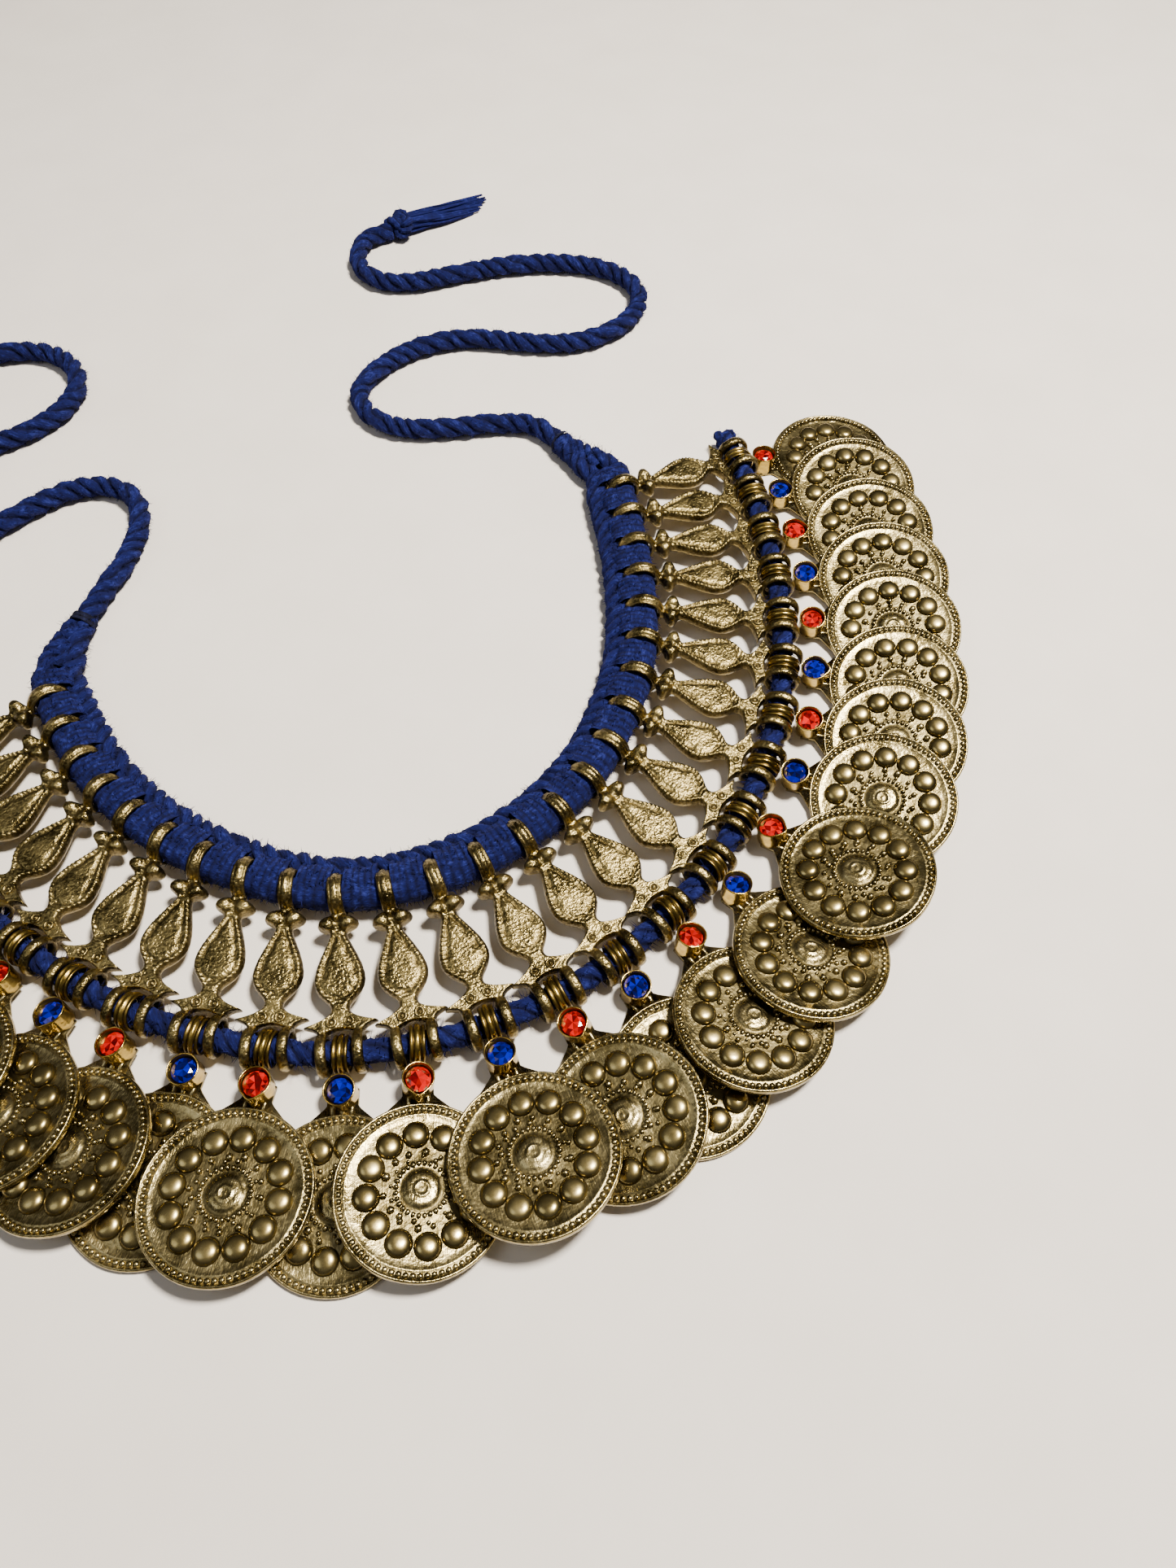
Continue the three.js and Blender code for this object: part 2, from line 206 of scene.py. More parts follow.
def together(*shapes):
    starts = np.cumsum([0] + [len(s.points) for s in shapes])
    faces = [tuple(i + start for i in face) for s, start in zip(shapes, starts) for face in s.faces]
    made = Shape(
        np.concatenate([s.points for s in shapes]),
        faces,
        np.concatenate([s.patina for s in shapes]),
        [f for s in shapes for f in s.finish],
    )
    made.plan = np.concatenate([s.plan for s in shapes])
    return made


def turned(profile, sides, closed=False, patina=None, finish=0):
    """A profile of (radius, height) pairs turned round Z. Going up along its outside, it faces out."""
    radius, height = np.array(profile, float).T
    rows = len(radius)
    angle = np.arange(sides) * 2 * math.pi / sides
    x, y = np.outer(radius, np.cos(angle)), np.outer(radius, np.sin(angle))
    points = np.stack([x, y, np.outer(height, np.ones(sides))], -1)
    faces = []
    for i in range(rows if closed else rows - 1):
        low, high = i * sides, (i + 1) % rows * sides
        for j in range(sides):
            after = (j + 1) % sides
            faces.append((low + j, low + after, high + after, high + j))
    marks = 0.0 if patina is None else np.repeat(np.array(patina, float), sides)
    return Shape(points, faces, marks, finish)


def cleaned(shape):
    """The same shape with its poles closed: points in one place become one, and empty faces go."""
    keys = np.round(shape.points, 4)
    _, first, back = np.unique(keys, axis=0, return_index=True, return_inverse=True)
    back = np.asarray(back).ravel()
    faces, finish = [], []
    for face, number in zip(shape.faces, shape.finish):
        loop = [back[i] for i in face]
        loop = [i for k, i in enumerate(loop) if i != loop[k - 1]]
        if len(loop) > 2 and len(set(loop)) == len(loop):
            faces.append(loop)
            finish.append(number)
    made = Shape(shape.points[first], faces, shape.patina[first], finish)
    made.plan = shape.plan[first]
    return made


def across_x(shape):
    """Turns a shape made round Z so that it lies round X, as a ring that a cord runs through."""
    return shape.moved(Matrix.Rotation(math.pi / 2, 4, "Y"))


def piece(name, shape, materials, replaces=(), smooth=True):
    """A shape as a finished piece: in metres, at the origin, riding on the one body."""
    mesh = bpy.data.meshes.new(name)
    mesh.from_pydata((shape.points * MM).tolist(), [], shape.faces)
    for material in materials:
        mesh.materials.append(material)
    mesh.polygons.foreach_set("material_index", shape.finish)
    mesh.polygons.foreach_set("use_smooth", [smooth] * len(shape.faces))
    mesh.attributes.new("patina", "FLOAT", "POINT").data.foreach_set("value", shape.patina)
    corners = np.array([i for face in shape.faces for i in face])
    mesh.uv_layers.new(name="plan").data.foreach_set("uv", (shape.plan[corners] / PLAN_SIZE + 0.5).ravel())
    return finished(bpy.data.objects.new(name, mesh), replaces)


def finished(obj, replaces):
    bpy.context.scene.collection.objects.link(obj)
    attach(obj, "root")
    if replaces:
        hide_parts(*replaces)
    return obj


def ease(low, high, value):
    share = np.clip((value - low) / (high - low), 0, 1)
    return share * share * (3 - 2 * share)


def ridge(distance, width):
    return np.exp(-((distance / width) ** 2))


def grain(points, size, seed):
    """Smooth noise from -1 to 1 at each point, its lumps about size millimetres across."""
    offset = Vector((17.3 * seed, 5.1 * seed, 31.7 * seed))
    return np.array([noise.noise(Vector(p) / size + offset) for p in points])


# %% [markdown]
# ## The metals
# The bars are cast in sand: an old gold with a pebbled skin that glints at every grain. The coins
# are a darker bronze, rubbed smooth on their domes, with dark patina left in each hollow. The
# bails and cups are a yellower sheet brass. A picture of metal could be wrapped on, but noise in
# the piece's own space never stretches and needs no picture. One recipe makes them all.


# %% Metal finishes
def material(name):
    made = bpy.data.materials.new(name)
    made.use_nodes = True
    return made, Tree(made.node_tree), made.node_tree.nodes["Principled BSDF"]


def attribute(tree, name, out="Fac"):
    return tree("ShaderNodeAttribute", out=out, attribute_name=name)


def place_in(tree):
    return tree("ShaderNodeTexCoord", out="Object")


def noise_in(tree, where, scale, detail=3.0, roughness=0.55):
    inputs = {"Vector": where, "Scale": scale, "Detail": detail, "Roughness": roughness}
    return tree("ShaderNodeTexNoise", inputs, out="Fac")


def ramp(tree, value, *stops):
    made = tree.node("ShaderNodeValToRGB", {"Fac": value})
    while len(made.color_ramp.elements) < len(stops):
        made.color_ramp.elements.new(0.5)
    for element, (position, colour) in zip(made.color_ramp.elements, stops):
        element.position = position
        element.color = (*colour, 1)
    return Output(tree, made.outputs["Color"])


def blend_colour(tree, share, below, above):
    return tree("ShaderNodeMix", {"Factor": share, 6: below, 7: (*above, 1)}, out=2, data_type="RGBA")


def bumpy(tree, height, strength, distance):
    inputs = {"Height": height, "Strength": strength, "Distance": distance}
    return tree("ShaderNodeBump", inputs, out="Normal")


def metal(name, bright, deep, dark, rough, pebble, depth, streak):
    made, tree, shader = material(name)
    place = place_in(tree)
    plan = tree("ShaderNodeUVMap", out="UV", uv_map="plan")
    clouds = noise_in(tree, place, 220, 4)
    grains = noise_in(tree, place, pebble, 2, 0.6)
    brushed = noise_in(tree, tree("ShaderNodeMapping", {"Vector": plan, "Scale": (40, 4, 1)}), 3, 5)
    body = ramp(tree, clouds * 0.5 + grains * 0.5, (0.4, deep), (0.6, bright))
    # The darkening here is patina in the hollows, and at the foot of each dome partly painted shade.
    patina_and_shade = attribute(tree, "patina") * (0.55 + grains * 0.9)
    patina_and_shade = tree("ShaderNodeClamp", {"Value": patina_and_shade})
    worn = patina_and_shade * 0.2 + (clouds - 0.5) * 0.35
    tree.fill(shader, {
        "Base Color": blend_colour(tree, patina_and_shade, body, dark),
        "Metallic": 1.0,
        "Roughness": worn + (brushed - 0.5) * streak + rough,
        "Normal": bumpy(tree, grains * 1.0 + brushed * streak, 0.8, depth),
    })
    return made


METALS = {  # bright, deep and dark colour, roughness, pebbles per metre, their depth, brush streaks
    "cast_brass": (
        (0.365, 0.282, 0.108), (0.084, 0.062, 0.02), (0.03, 0.02, 0.006), 0.29, 2200, 0.0002, 0.03),
    "coin_bronze": (
        (0.39, 0.318, 0.148), (0.172, 0.132, 0.048), (0.024, 0.018, 0.006), 0.24, 1400, 0.0001, 0.35),
    "dome_bronze": (
        (0.375, 0.298, 0.124), (0.262, 0.2, 0.074), (0.028, 0.02, 0.007), 0.25, 900, 0.00002, 0.0),
    "bail_brass": (
        (0.58, 0.41, 0.10), (0.36, 0.24, 0.05), (0.035, 0.022, 0.006), 0.2, 1500, 0.00006, 0.05),
}
cast_brass, coin_bronze, dome_bronze, bail_brass = [metal(name, *values) for name, values in METALS.items()]

# %% [markdown]
# ## Cut stones
# Each cup holds a foil-backed glass stone: a flat table in the middle and rings of slanted facets
# round it. Clear glass over a foil cone would be true to life but slow and noisy to render. The
# eye knows such a stone by its facets, each of which mirrors another part of the room, so flat
# facets with a hard gloss do it, each painted brighter or deeper at random as a painted
# reflection. The glass also glows faintly in its own colour: painted light, as it is no lamp.


# %% Stone colours
def stone_glass(name, deep, bright):
    made, tree, shader = material(name)
    # On a stone the stored share is a painted reflection on each facet: a bright facet is a painted glint, a
    # deep one a painted dark reflection.
    share = attribute(tree, "patina") * 0.8 + noise_in(tree, place_in(tree), 900, 1) * 0.25
    colour = ramp(tree, share, (0.15, deep), (0.95, bright))
    # The emission is painted light: each stone glows faintly in its own colour, though it is no lamp.
    tree.fill(shader, {
        "Base Color": colour, "Emission Color": colour, "Emission Strength": 0.25,
        "Specular IOR Level": 0.3, "Roughness": 0.05, "Coat Weight": 0.2, "Coat Roughness": 0.02,
    })
    return made


red_glass = stone_glass("red_glass", (0.04, 0.0, 0.0), (0.55, 0.0, 0.0))
blue_glass = stone_glass("blue_glass", (0.0, 0.0, 0.012), (0.0, 0.0, 0.30))

# %% [markdown]
# ## Blue cotton
# The cords are soft cotton yarn, dyed a strong royal blue: rough, dull, and lighter where its
# fibres stand up. Down in the grooves it is painted almost black, as painted shade. A woven
# picture would slide round the bends, so the colour follows three numbers that each cord carries:
# how far along it a point is, and where it sits in the cord's own cross-section. Noise stretched
# along the cord then looks like fibre.


# %% Cotton finishes
def cotton(name, deep, middle, light):
    made, tree, shader = material(name)
    section = tree.outputs(tree.node("ShaderNodeSeparateXYZ", {0: attribute(tree, "section", "Vector")}))
    straight = {0: attribute(tree, "along"), 1: section["X"], 2: section["Y"]}
    straight = tree("ShaderNodeCombineXYZ", straight)
    stretched = tree("ShaderNodeMapping", {"Vector": straight, "Scale": (0.35, 1, 1)})
    fibre = noise_in(tree, stretched, 2600, 5, 0.7)
    tufts = noise_in(tree, place_in(tree), 650, 4, 0.65)
    height = fibre * 0.55 + tufts * 0.45
    body = ramp(tree, height, (0.32, deep), (0.52, middle), (0.72, light))
    # The groove colour is painted shade: the cotton is darkened almost to black down in the grooves between
    # strands and turns of yarn.
    groove = tuple(0.25 * v for v in deep)
    tree.fill(shader, {
        "Base Color": blend_colour(tree, attribute(tree, "hollow") * 0.85, body, groove),
        "Roughness": 0.95, "Specular IOR Level": 0.15, "Sheen Weight": 0.12,
        "Sheen Roughness": 0.45, "Sheen Tint": (*light, 1),
        "Normal": bumpy(tree, height, 0.9, 0.0005),
    })
    return made


blue_cotton = cotton("blue_cotton", (0.002, 0.003, 0.018), (0.005, 0.007, 0.066), (0.034, 0.046, 0.25))
dark_thread = cotton("dark_thread", (0.002, 0.002, 0.006), (0.006, 0.007, 0.022), (0.02, 0.025, 0.08))

# %% [markdown]
# ## Where everything lies
# The hooks sit evenly along one smooth line, and each bar points out from it at its own angle.
# The line goes through a few chosen points. The same curve is worked out here as in the packed
# model, so every piece made below lands on the solid that it stands for.

# %% The collar line and the ties
BARS = 25
COLLAR_LEAD = 5
COLLAR_ROWS = [
    (None, 52.6, 56.3, None), (0, 51.2, 51.5, 84), (3, 44.5, 31.3, 64.8), (6, 34.6, 13.6, 44.5),
    (9, 17.8, -0.7, 24), (12, -1.9, -5.9, 3.5), (15, -21.6, -1.9, -18.5), (18, -38.2, 12.5, -40.5),
    (21, -48.3, 31.1, -61), (24, -51.6, 51.1, -80), (None, -51.2, 56.1, None),
]  # bar, x, y, fan angle
TIE_RIGHT = [
    (50.4, 59.2), (48.9, 63.4), (47.2, 68.9), (44.8, 75.3), (38.6, 79.2), (31.3, 81.7), (24.2, 84.8),
    (19.5, 88.9), (17.5, 94.1), (18.2, 98.9), (21.8, 102.6), (27.4, 105.3), (34.1, 106.4), (41.9, 105.3),
    (48.2, 101.9), (54.1, 97.8), (61.5, 94.1), (68.5, 93.4), (75.0, 95.1), (79.7, 98.9), (81.5, 104.5),
    (79.8, 110.3), (75.2, 115.7), (68.2, 120.0), (59.8, 123.1), (49.6, 125.1), (40.9, 126.6),
    (35.0, 130.0), (32.5, 135.3), (33.5, 140.9), (37.2, 145.0), (42.8, 145.7),
]
TIE_LEFT = [
    (-48.9, 57.7), (-46.7, 61.7), (-42.9, 66.3), (-38.1, 71.6), (-32.5, 77.7), (-28.8, 84.3),
    (-28.2, 90.7), (-31.0, 95.3), (-36.2, 97.7), (-42.1, 97.6), (-48.0, 96.1), (-54.4, 94.3),
    (-61.4, 94.1), (-67.8, 96.4), (-71.6, 101.0), (-72.0, 106.7), (-68.8, 111.9), (-62.8, 114.9),
    (-55.4, 116.1), (-47.8, 116.5), (-41.4, 117.3), (-35.5, 119.7), (-31.1, 124.3), (-29.8, 130.3),
    (-31.8, 136.3), (-36.6, 140.7), (-42.8, 142.7), (-50.0, 143.1), (-57.6, 142.1), (-65.4, 140.1),
    (-73.4, 138.3), (-81.4, 137.5), (-87.4, 137.7),
]


def smooth_line(points, steps=60):
    """A smooth line through points: a centripetal Catmull-Rom curve, as a long list of points."""
    points = [np.array(p, float) for p in points]
    points = [2 * points[0] - points[1], *points, 2 * points[-1] - points[-2]]
    weights = np.linspace(0, 1, steps, endpoint=False)[:, None]
    rows = []
    for a, b, c, d in zip(points, points[1:], points[2:], points[3:]):
        before, between, after = (math.sqrt(np.linalg.norm(q - p)) for p, q in ((a, b), (b, c), (c, d)))
        leave = ((b - a) / before - (c - a) / (before + between) + (c - b) / between) * between
        arrive = ((c - b) / between - (d - b) / (between + after) + (d - c) / after) * between
        rows.append(
            b + leave * weights + (3 * c - 3 * b - 2 * leave - arrive) * weights**2
            + (2 * b - 2 * c + leave + arrive) * weights**3
        )
    return np.concatenate([*rows, points[-2][None]])


def lengths_of(line):
    return np.concatenate([[0], np.cumsum(np.linalg.norm(np.diff(line, axis=0), axis=1))])


def at_length(line, where):
    lengths = lengths_of(line)
    return np.array([np.interp(where, lengths, line[:, k]) for k in range(line.shape[1])])


# %% [markdown]
# ## Sizes of the castings
# These are the sizes that the relief is drawn in, in millimetres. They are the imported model's own,
# because a fine piece has to fit over the plain solid that it stands for.

# %% Sizes of one bar and one drop
HOOK_BORE, HOOK_RADIUS, HOOK_WIDTH = 2.5, 3.35, 2.1
CLEVIS_BORE, CLEVIS_RADIUS, CLEVIS_WIDTH, CLEVIS_GAP = 2.25, 2.95, 1.5, 3.35
BAR_HALF = 0.9
KNOB_REACH, BAR_REACH = 4.6, 22.95
BAIL_BORE, BAIL_RADIUS, BAIL_WIDTH = 2.15, 2.7, 2.1
CUP_RADIUS, CUP_REACH, CUP_TOP = 2.12, 4.925, 1.05
COIN_RADIUS, COIN_REACH, PLATE = 11, 18.35, 0.8
DOME_CIRCLE, DOME_RADIUS, DOME_HEIGHT = 6.85, 1.78, 0.98
SLACK = CLEVIS_RADIUS - BAIL_RADIUS
COIN_STACK, CLEAR = 1.4, 0.3

collar_line = smooth_line([(x, y) for _, x, y, _ in COLLAR_ROWS])
collar_length = lengths_of(collar_line)[-1]
hook_spacing = (collar_length - 2 * COLLAR_LEAD) / (BARS - 1)
fan_rows = [(number, fan) for number, _, _, fan in COLLAR_ROWS if number is not None]
stations = []
for index in range(BARS):
    along = COLLAR_LEAD + hook_spacing * index
    ahead = at_length(collar_line, along + 0.2) - at_length(collar_line, along - 0.2)
    ahead /= np.linalg.norm(ahead)
    fan = math.radians(np.interp(index, *zip(*fan_rows)))
    outward = np.array([math.sin(fan), -math.cos(fan)])
    hook = at_length(collar_line, along)
    stations.append({"fan": fan, "hook": hook, "clevis": hook + outward * BAR_REACH,
                     "outward": outward, "inward": np.array([ahead[1], -ahead[0]])})
print("collar, mm:", round(collar_length, 1), "hooks every", round(hook_spacing, 2))

# %% [markdown]
# ## How the coins lie
# Most coins lean on the one before them like roof tiles, a few lie flat underneath and a few lie
# on top. How far a coin leans follows from its thickness and the distance to its neighbour. Each
# coin's place is one matrix: turned along its bar, tilted down the slope, and rolled to one side.

# %% Where each drop lies
OVER_LAST, OVER_NEXT = "over the last", "over the next"
LIES = [
    ("under", -10), (OVER_LAST, -8), (OVER_LAST, -5), (OVER_LAST, -2), (OVER_LAST, 1), (OVER_LAST, 1),
    (OVER_LAST, 4), (OVER_LAST, 7), ("on top", 1), (OVER_NEXT, -3), (OVER_NEXT, -6), ("under", -6),
    (OVER_LAST, -3), ("on top", -2), (OVER_NEXT, -8), ("under", -5), ("on flat", -8.5), ("under", -5),
    (OVER_LAST, -2), (OVER_LAST, 0), (OVER_LAST, 1), (OVER_LAST, 2), (OVER_LAST, 3), (OVER_LAST, 5),
    (OVER_LAST, 7),
]
headings = [station["fan"] + math.radians(swing) for station, (_, swing) in zip(stations, LIES)]
centres = [
    s["clevis"] + COIN_REACH * np.array([math.sin(h), -math.cos(h)]) for s, h in zip(stations, headings)
]
least = min(np.linalg.norm(b - a) for a, b in zip(centres, centres[1:]))
lean = math.asin((COIN_STACK + CLEAR + 0.1) / least)

rise, sink = 2 * SLACK, COIN_RADIUS * math.sin(lean)
span = COIN_REACH**2 - COIN_RADIUS**2
leaning_slope = (-rise * COIN_REACH + math.sqrt((rise * COIN_REACH) ** 2 - span * (rise**2 - sink**2))) / span
inner_domes = COIN_REACH - DOME_CIRCLE
step = (COIN_STACK + CLEAR) / inner_domes
LYING = {  # how far the bail slides on the cord, roll, and slope
    "under": (-SLACK, 0, 0),
    OVER_LAST: (SLACK, -lean, leaning_slope),
    OVER_NEXT: (SLACK, lean, leaning_slope),
    "on flat": (SLACK, 0, step - 2 * SLACK / inner_domes),
    "on top": (SLACK, 0, leaning_slope + step - math.sin(lean) * 2 * COIN_RADIUS / 8 / inner_domes),
}


def bar_place(station):
    pitch = math.asin((HOOK_RADIUS - CLEVIS_RADIUS) / BAR_REACH)
    return (
        Matrix.Translation((*station["hook"], HOOK_RADIUS))
        @ Matrix.Rotation(station["fan"], 4, "Z") @ Matrix.Rotation(pitch, 4, "X")
    )


def drop_place(station, lie, swing):
    shift, roll, slope = LYING[lie]
    return (
        Matrix.Translation((*station["clevis"], CLEVIS_RADIUS + shift))
        @ Matrix.Rotation(station["fan"] + math.radians(swing), 4, "Z")
        @ Matrix.Rotation(-math.asin(slope), 4, "X") @ Matrix.Rotation(roll, 4, "Y")
    )


print("coins lean, degrees:", round(math.degrees(lean), 2), "slope:", round(leaning_slope, 4))

# %% [markdown]
# ## A cast bar
# Seen from above a bar is like a fish: a hook strap, two knobs, a pear with a beaded border round
# a pebbled panel, and a tail with two sharp tips. It could be cut out and beveled, but a casting
# has no straight walls. So the outline is a list of half widths, the rows between follow it, and
# one rule gives the height of each point: rounded at the edge, sunk in the groove, raised on the
# panel, and lumpy all over.

# %% The outline and the panel of a bar
BAR_OUTLINE = [
    (2.7, 1.0), (3.3, 1.05), (3.55, 1.5), (3.9, 2.35), (4.3, 2.8), (4.7, 2.9), (5.15, 2.6), (5.55, 1.8),
    (5.8, 1.25), (6.15, 1.2), (6.9, 1.45), (8.0, 1.95), (9.3, 2.55), (10.7, 3.1), (12.0, 3.42),
    (12.9, 3.48), (13.8, 3.3), (14.7, 2.85), (15.5, 2.2), (16.1, 1.6), (16.6, 1.3), (17.1, 1.28),
    (17.5, 1.5), (17.9, 1.95), (18.3, 2.6), (18.6, 3.4), (18.85, 4.2), (19.05, 5.0), (19.25, 4.35),
    (19.5, 3.75), (19.9, 3.25), (20.5, 3.05),
]  # distance from the hook, half width
PANEL_TOP, PANEL_WIDE, PANEL_HALF = 6.3, 12.95, 2.35
BAR_TOP, BAR_FOOT = BAR_OUTLINE[0][0], BAR_OUTLINE[-1][0]
BORDER_PITCH, KNOB_ASIDE, KNOB_RADIUS = 0.62, 1.42, 1.55
ROWS, COLUMNS = 112, 19


def panel_half(along):
    """Half the width of the teardrop panel: pointed at the top and round at the foot."""
    narrow = PANEL_HALF * np.clip((along - PANEL_TOP) / (PANEL_WIDE - PANEL_TOP), 0, 1) ** 0.85
    round_foot = PANEL_HALF * np.sqrt(np.clip(1 - ((along - PANEL_WIDE) / PANEL_HALF) ** 2, 0, 1))
    return np.where(along < PANEL_WIDE, narrow, round_foot) - 0.001


def bar_relief(across, along, half):
    """Height over the plate's middle, and patina, for a point at across and along."""
    edge = half - np.abs(across)
    from_end = np.minimum(along - BAR_TOP, BAR_FOOT - along)
    soft = 0.75 - 0.4 * ease(17.6, 18.3, along)
    near_edge = np.clip(1 - np.minimum(edge / soft, from_end / 0.5), 0, 1)
    rounding = np.sqrt(np.clip(1 - near_edge**2.2, 0, 1))
    height = np.full_like(across, BAR_HALF)
    patina = np.zeros_like(across)

    on_pear = ease(6.0, 6.9, along) * (1 - ease(15.9, 16.7, along))
    inside = np.minimum(panel_half(along) - np.abs(across), (PANEL_WIDE + PANEL_HALF - along) * 0.9)
    inside = np.minimum(inside, (along - PANEL_TOP) * 0.35)
    groove = ridge(inside + 0.16, 0.17) * on_pear
    lip = ridge(inside - 0.12, 0.15) * on_pear
    height += 0.14 * ease(0.1, 0.4, inside) * on_pear + 0.12 * lip - 0.34 * groove
    patina += 0.95 * groove
    beads = 0.5 + 0.5 * np.cos(2 * math.pi * along / BORDER_PITCH)
    border = ridge(edge - 0.5, 0.28) * on_pear * (1 - ease(-0.45, -0.1, inside))
    height += border * (0.05 + 0.28 * beads)
    patina += border * 0.8 * (1 - beads)

    knob = np.hypot(np.abs(across) - KNOB_ASIDE, (along - KNOB_REACH) * 1.05)
    dome = np.sqrt(np.clip(1 - (knob / KNOB_RADIUS) ** 2, 0, 1))
    height = np.maximum(height * (1 - 0.35 * ridge(along - KNOB_REACH, 1.1)), height * 0.5 + 1.45 * dome)
    patina += 0.6 * ridge(across, 0.22) * ridge(along - KNOB_REACH, 0.9)
    for place in (5.95, 16.55, 17.0):
        height += 0.2 * ridge(along - place, 0.16)
        patina += 0.35 * ridge(along - place - 0.25, 0.12)
    on_tail = ease(17.2, 17.9, along)
    height += on_tail * 0.12 * ridge(edge - 0.4, 0.22)
    patina += 0.5 * ridge(edge, 0.25)
    return height * rounding, patina, rounding


# %% A bar as rows of points, and its two kinds of ring
def bar_plate(seed):
    along = np.linspace(BAR_TOP, BAR_FOOT, ROWS)
    half = np.interp(along, *zip(*BAR_OUTLINE))
    share = np.sin(np.linspace(-1, 1, COLUMNS) * math.pi / 2)
    across = half[:, None] * share
    reach = np.repeat(along[:, None], COLUMNS, 1)
    notch = 0.65 * ease(19.2, BAR_FOOT, reach) * np.clip(1 - (across / 2.2) ** 2, 0, 1)
    height, patina, rounding = bar_relief(across, reach, half[:, None])
    top = np.stack([across, -(reach - notch), height], -1).reshape(-1, 3)
    lumps = grain(top, 1.6, seed) * 0.045 + grain(top, 0.7, seed + 40) * 0.03
    top[:, 2] += lumps * rounding.ravel()
    under = np.stack([across, -(reach - notch), -BAR_HALF * rounding], -1).reshape(-1, 3)
    faces = []
    for i in range(ROWS - 1):
        for j in range(COLUMNS - 1):
            a, b = i * COLUMNS + j, (i + 1) * COLUMNS + j
            faces.append((a, b, b + 1, a + 1))
            lift = ROWS * COLUMNS
            faces.append((a + lift, a + 1 + lift, b + 1 + lift, b + lift))
    marks = np.concatenate([patina.ravel(), np.zeros(ROWS * COLUMNS)])
    return Shape(np.concatenate([top, under]), faces, marks)


def strap(bore, radius, width, steps, sides=30):
    """A strap bent into a ring round X, its crown drawn as (share of width, share of wall)."""
    wall = radius - bore
    outside = [(bore + wall * high, width / 2 * wide) for wide, high in steps]
    inside = [(bore, width / 2 * 0.9), (bore, -width / 2 * 0.9)]
    marks = [1 - high for _, high in steps] + [0.5, 0.5]
    return across_x(turned(outside + inside, sides, closed=True, patina=marks))


def both_sides(half):
    """A strap's section from one half of it, as (share of width, share of wall)."""
    return [(-wide, high) for wide, high in half] + [(w, h) for w, h in half[::-1] if w]


STEPPED = both_sides([(0.9, 0.1), (1, 0.3), (0.94, 0.55), (0.62, 0.7), (0.5, 0.62), (0.42, 0.92), (0, 1.0)])
CROWNED = both_sides([(0.9, 0.1), (1, 0.4), (0.8, 0.8), (0.35, 1.0)])


def lumpy(shape, amount, size, seed):
    """Presses the shape in and out a little, as hand work is."""
    shift = np.stack([grain(shape.points, size, seed + k) for k in (0, 3, 7)], -1)
    made = Shape(shape.points + amount * shift, shape.faces, shape.patina, shape.finish)
    made.plan = shape.plan
    return made


EYELET = [
    (0, 0.3), (0.16, 0.28), (0.27, 0.05), (0.4, 0.05), (0.5, 0.24), (0.62, 0.27), (0.74, 0.2),
    (0.86, -0.1),
]
EYELET_ASIDE, EYELET_REACH = 1.2, 18.85
EYELET_PATINA = [0, 0.1, 0.9, 0.9, 0.2, 0, 0.3, 1]


def bar_shape(seed):
    side = (CLEVIS_GAP + CLEVIS_WIDTH) / 2
    clevis = strap(CLEVIS_BORE, CLEVIS_RADIUS, CLEVIS_WIDTH, CROWNED, 26)
    rings = [strap(HOOK_BORE, HOOK_RADIUS, HOOK_WIDTH, STEPPED)]
    rings += [clevis.moved(Matrix.Translation((x, -BAR_REACH, 0))) for x in (-side, side)]
    eyelet = turned(EYELET[::-1], 14, patina=EYELET_PATINA[::-1])
    spots = [(x, -EYELET_REACH, BAR_HALF - 0.02) for x in (-EYELET_ASIDE, EYELET_ASIDE)]
    eyelets = [eyelet.moved(Matrix.Translation(spot)) for spot in spots]
    rings = [lumpy(ring, 0.05, 1.2, seed) for ring in rings]
    eyelets = [lumpy(eyelet, 0.08, 0.9, seed) for eyelet in eyelets]
    return cleaned(together(bar_plate(seed), *rings, *eyelets))


for index, station in enumerate(stations):
    number = f"{index + 1:02d}"
    shape = bar_shape(index).moved(bar_place(station), keep_plan=True)
    piece("cast_" + number, shape, [cast_brass], ["bar_" + number])
print("faces in one bar:", len(shape.faces))

# %% [markdown]
# ## Beads struck in circles
# Every coin carries circles of small beads: a milled edge, a fine ring round the boss and two
# rings of loose grains inside the domes. Placing each by hand would be endless, and this is what
# Geometry Nodes is for: a circle of points, one low bead on each, turned to face the middle and a
# little uneven.

# %% A tree that sets beads in a circle
bead_tree, given, close = new_tree("beads_in_a_circle", {
    "Count": ("Int", 12), "Circle Radius": ("Float", 5.0), "Bead Length": ("Float", 0.8),
    "Bead Width": ("Float", 0.5), "Bead Height": ("Float", 0.3), "Segments": ("Int", 8),
    "Rings": ("Int", 4), "Unevenness": ("Float", 0.05), "Drift": ("Float", 0.0), "Seed": ("Int", 0),
    "Material": ("Material", None),
})


def any_way(tree, reach, seed):
    """A chance vector for each point, each part of it between minus and plus its reach."""
    inputs = {0: tuple(-v for v in reach), 1: reach, 8: seed}
    return tree("FunctionNodeRandomValue", inputs, data_type="FLOAT_VECTOR")


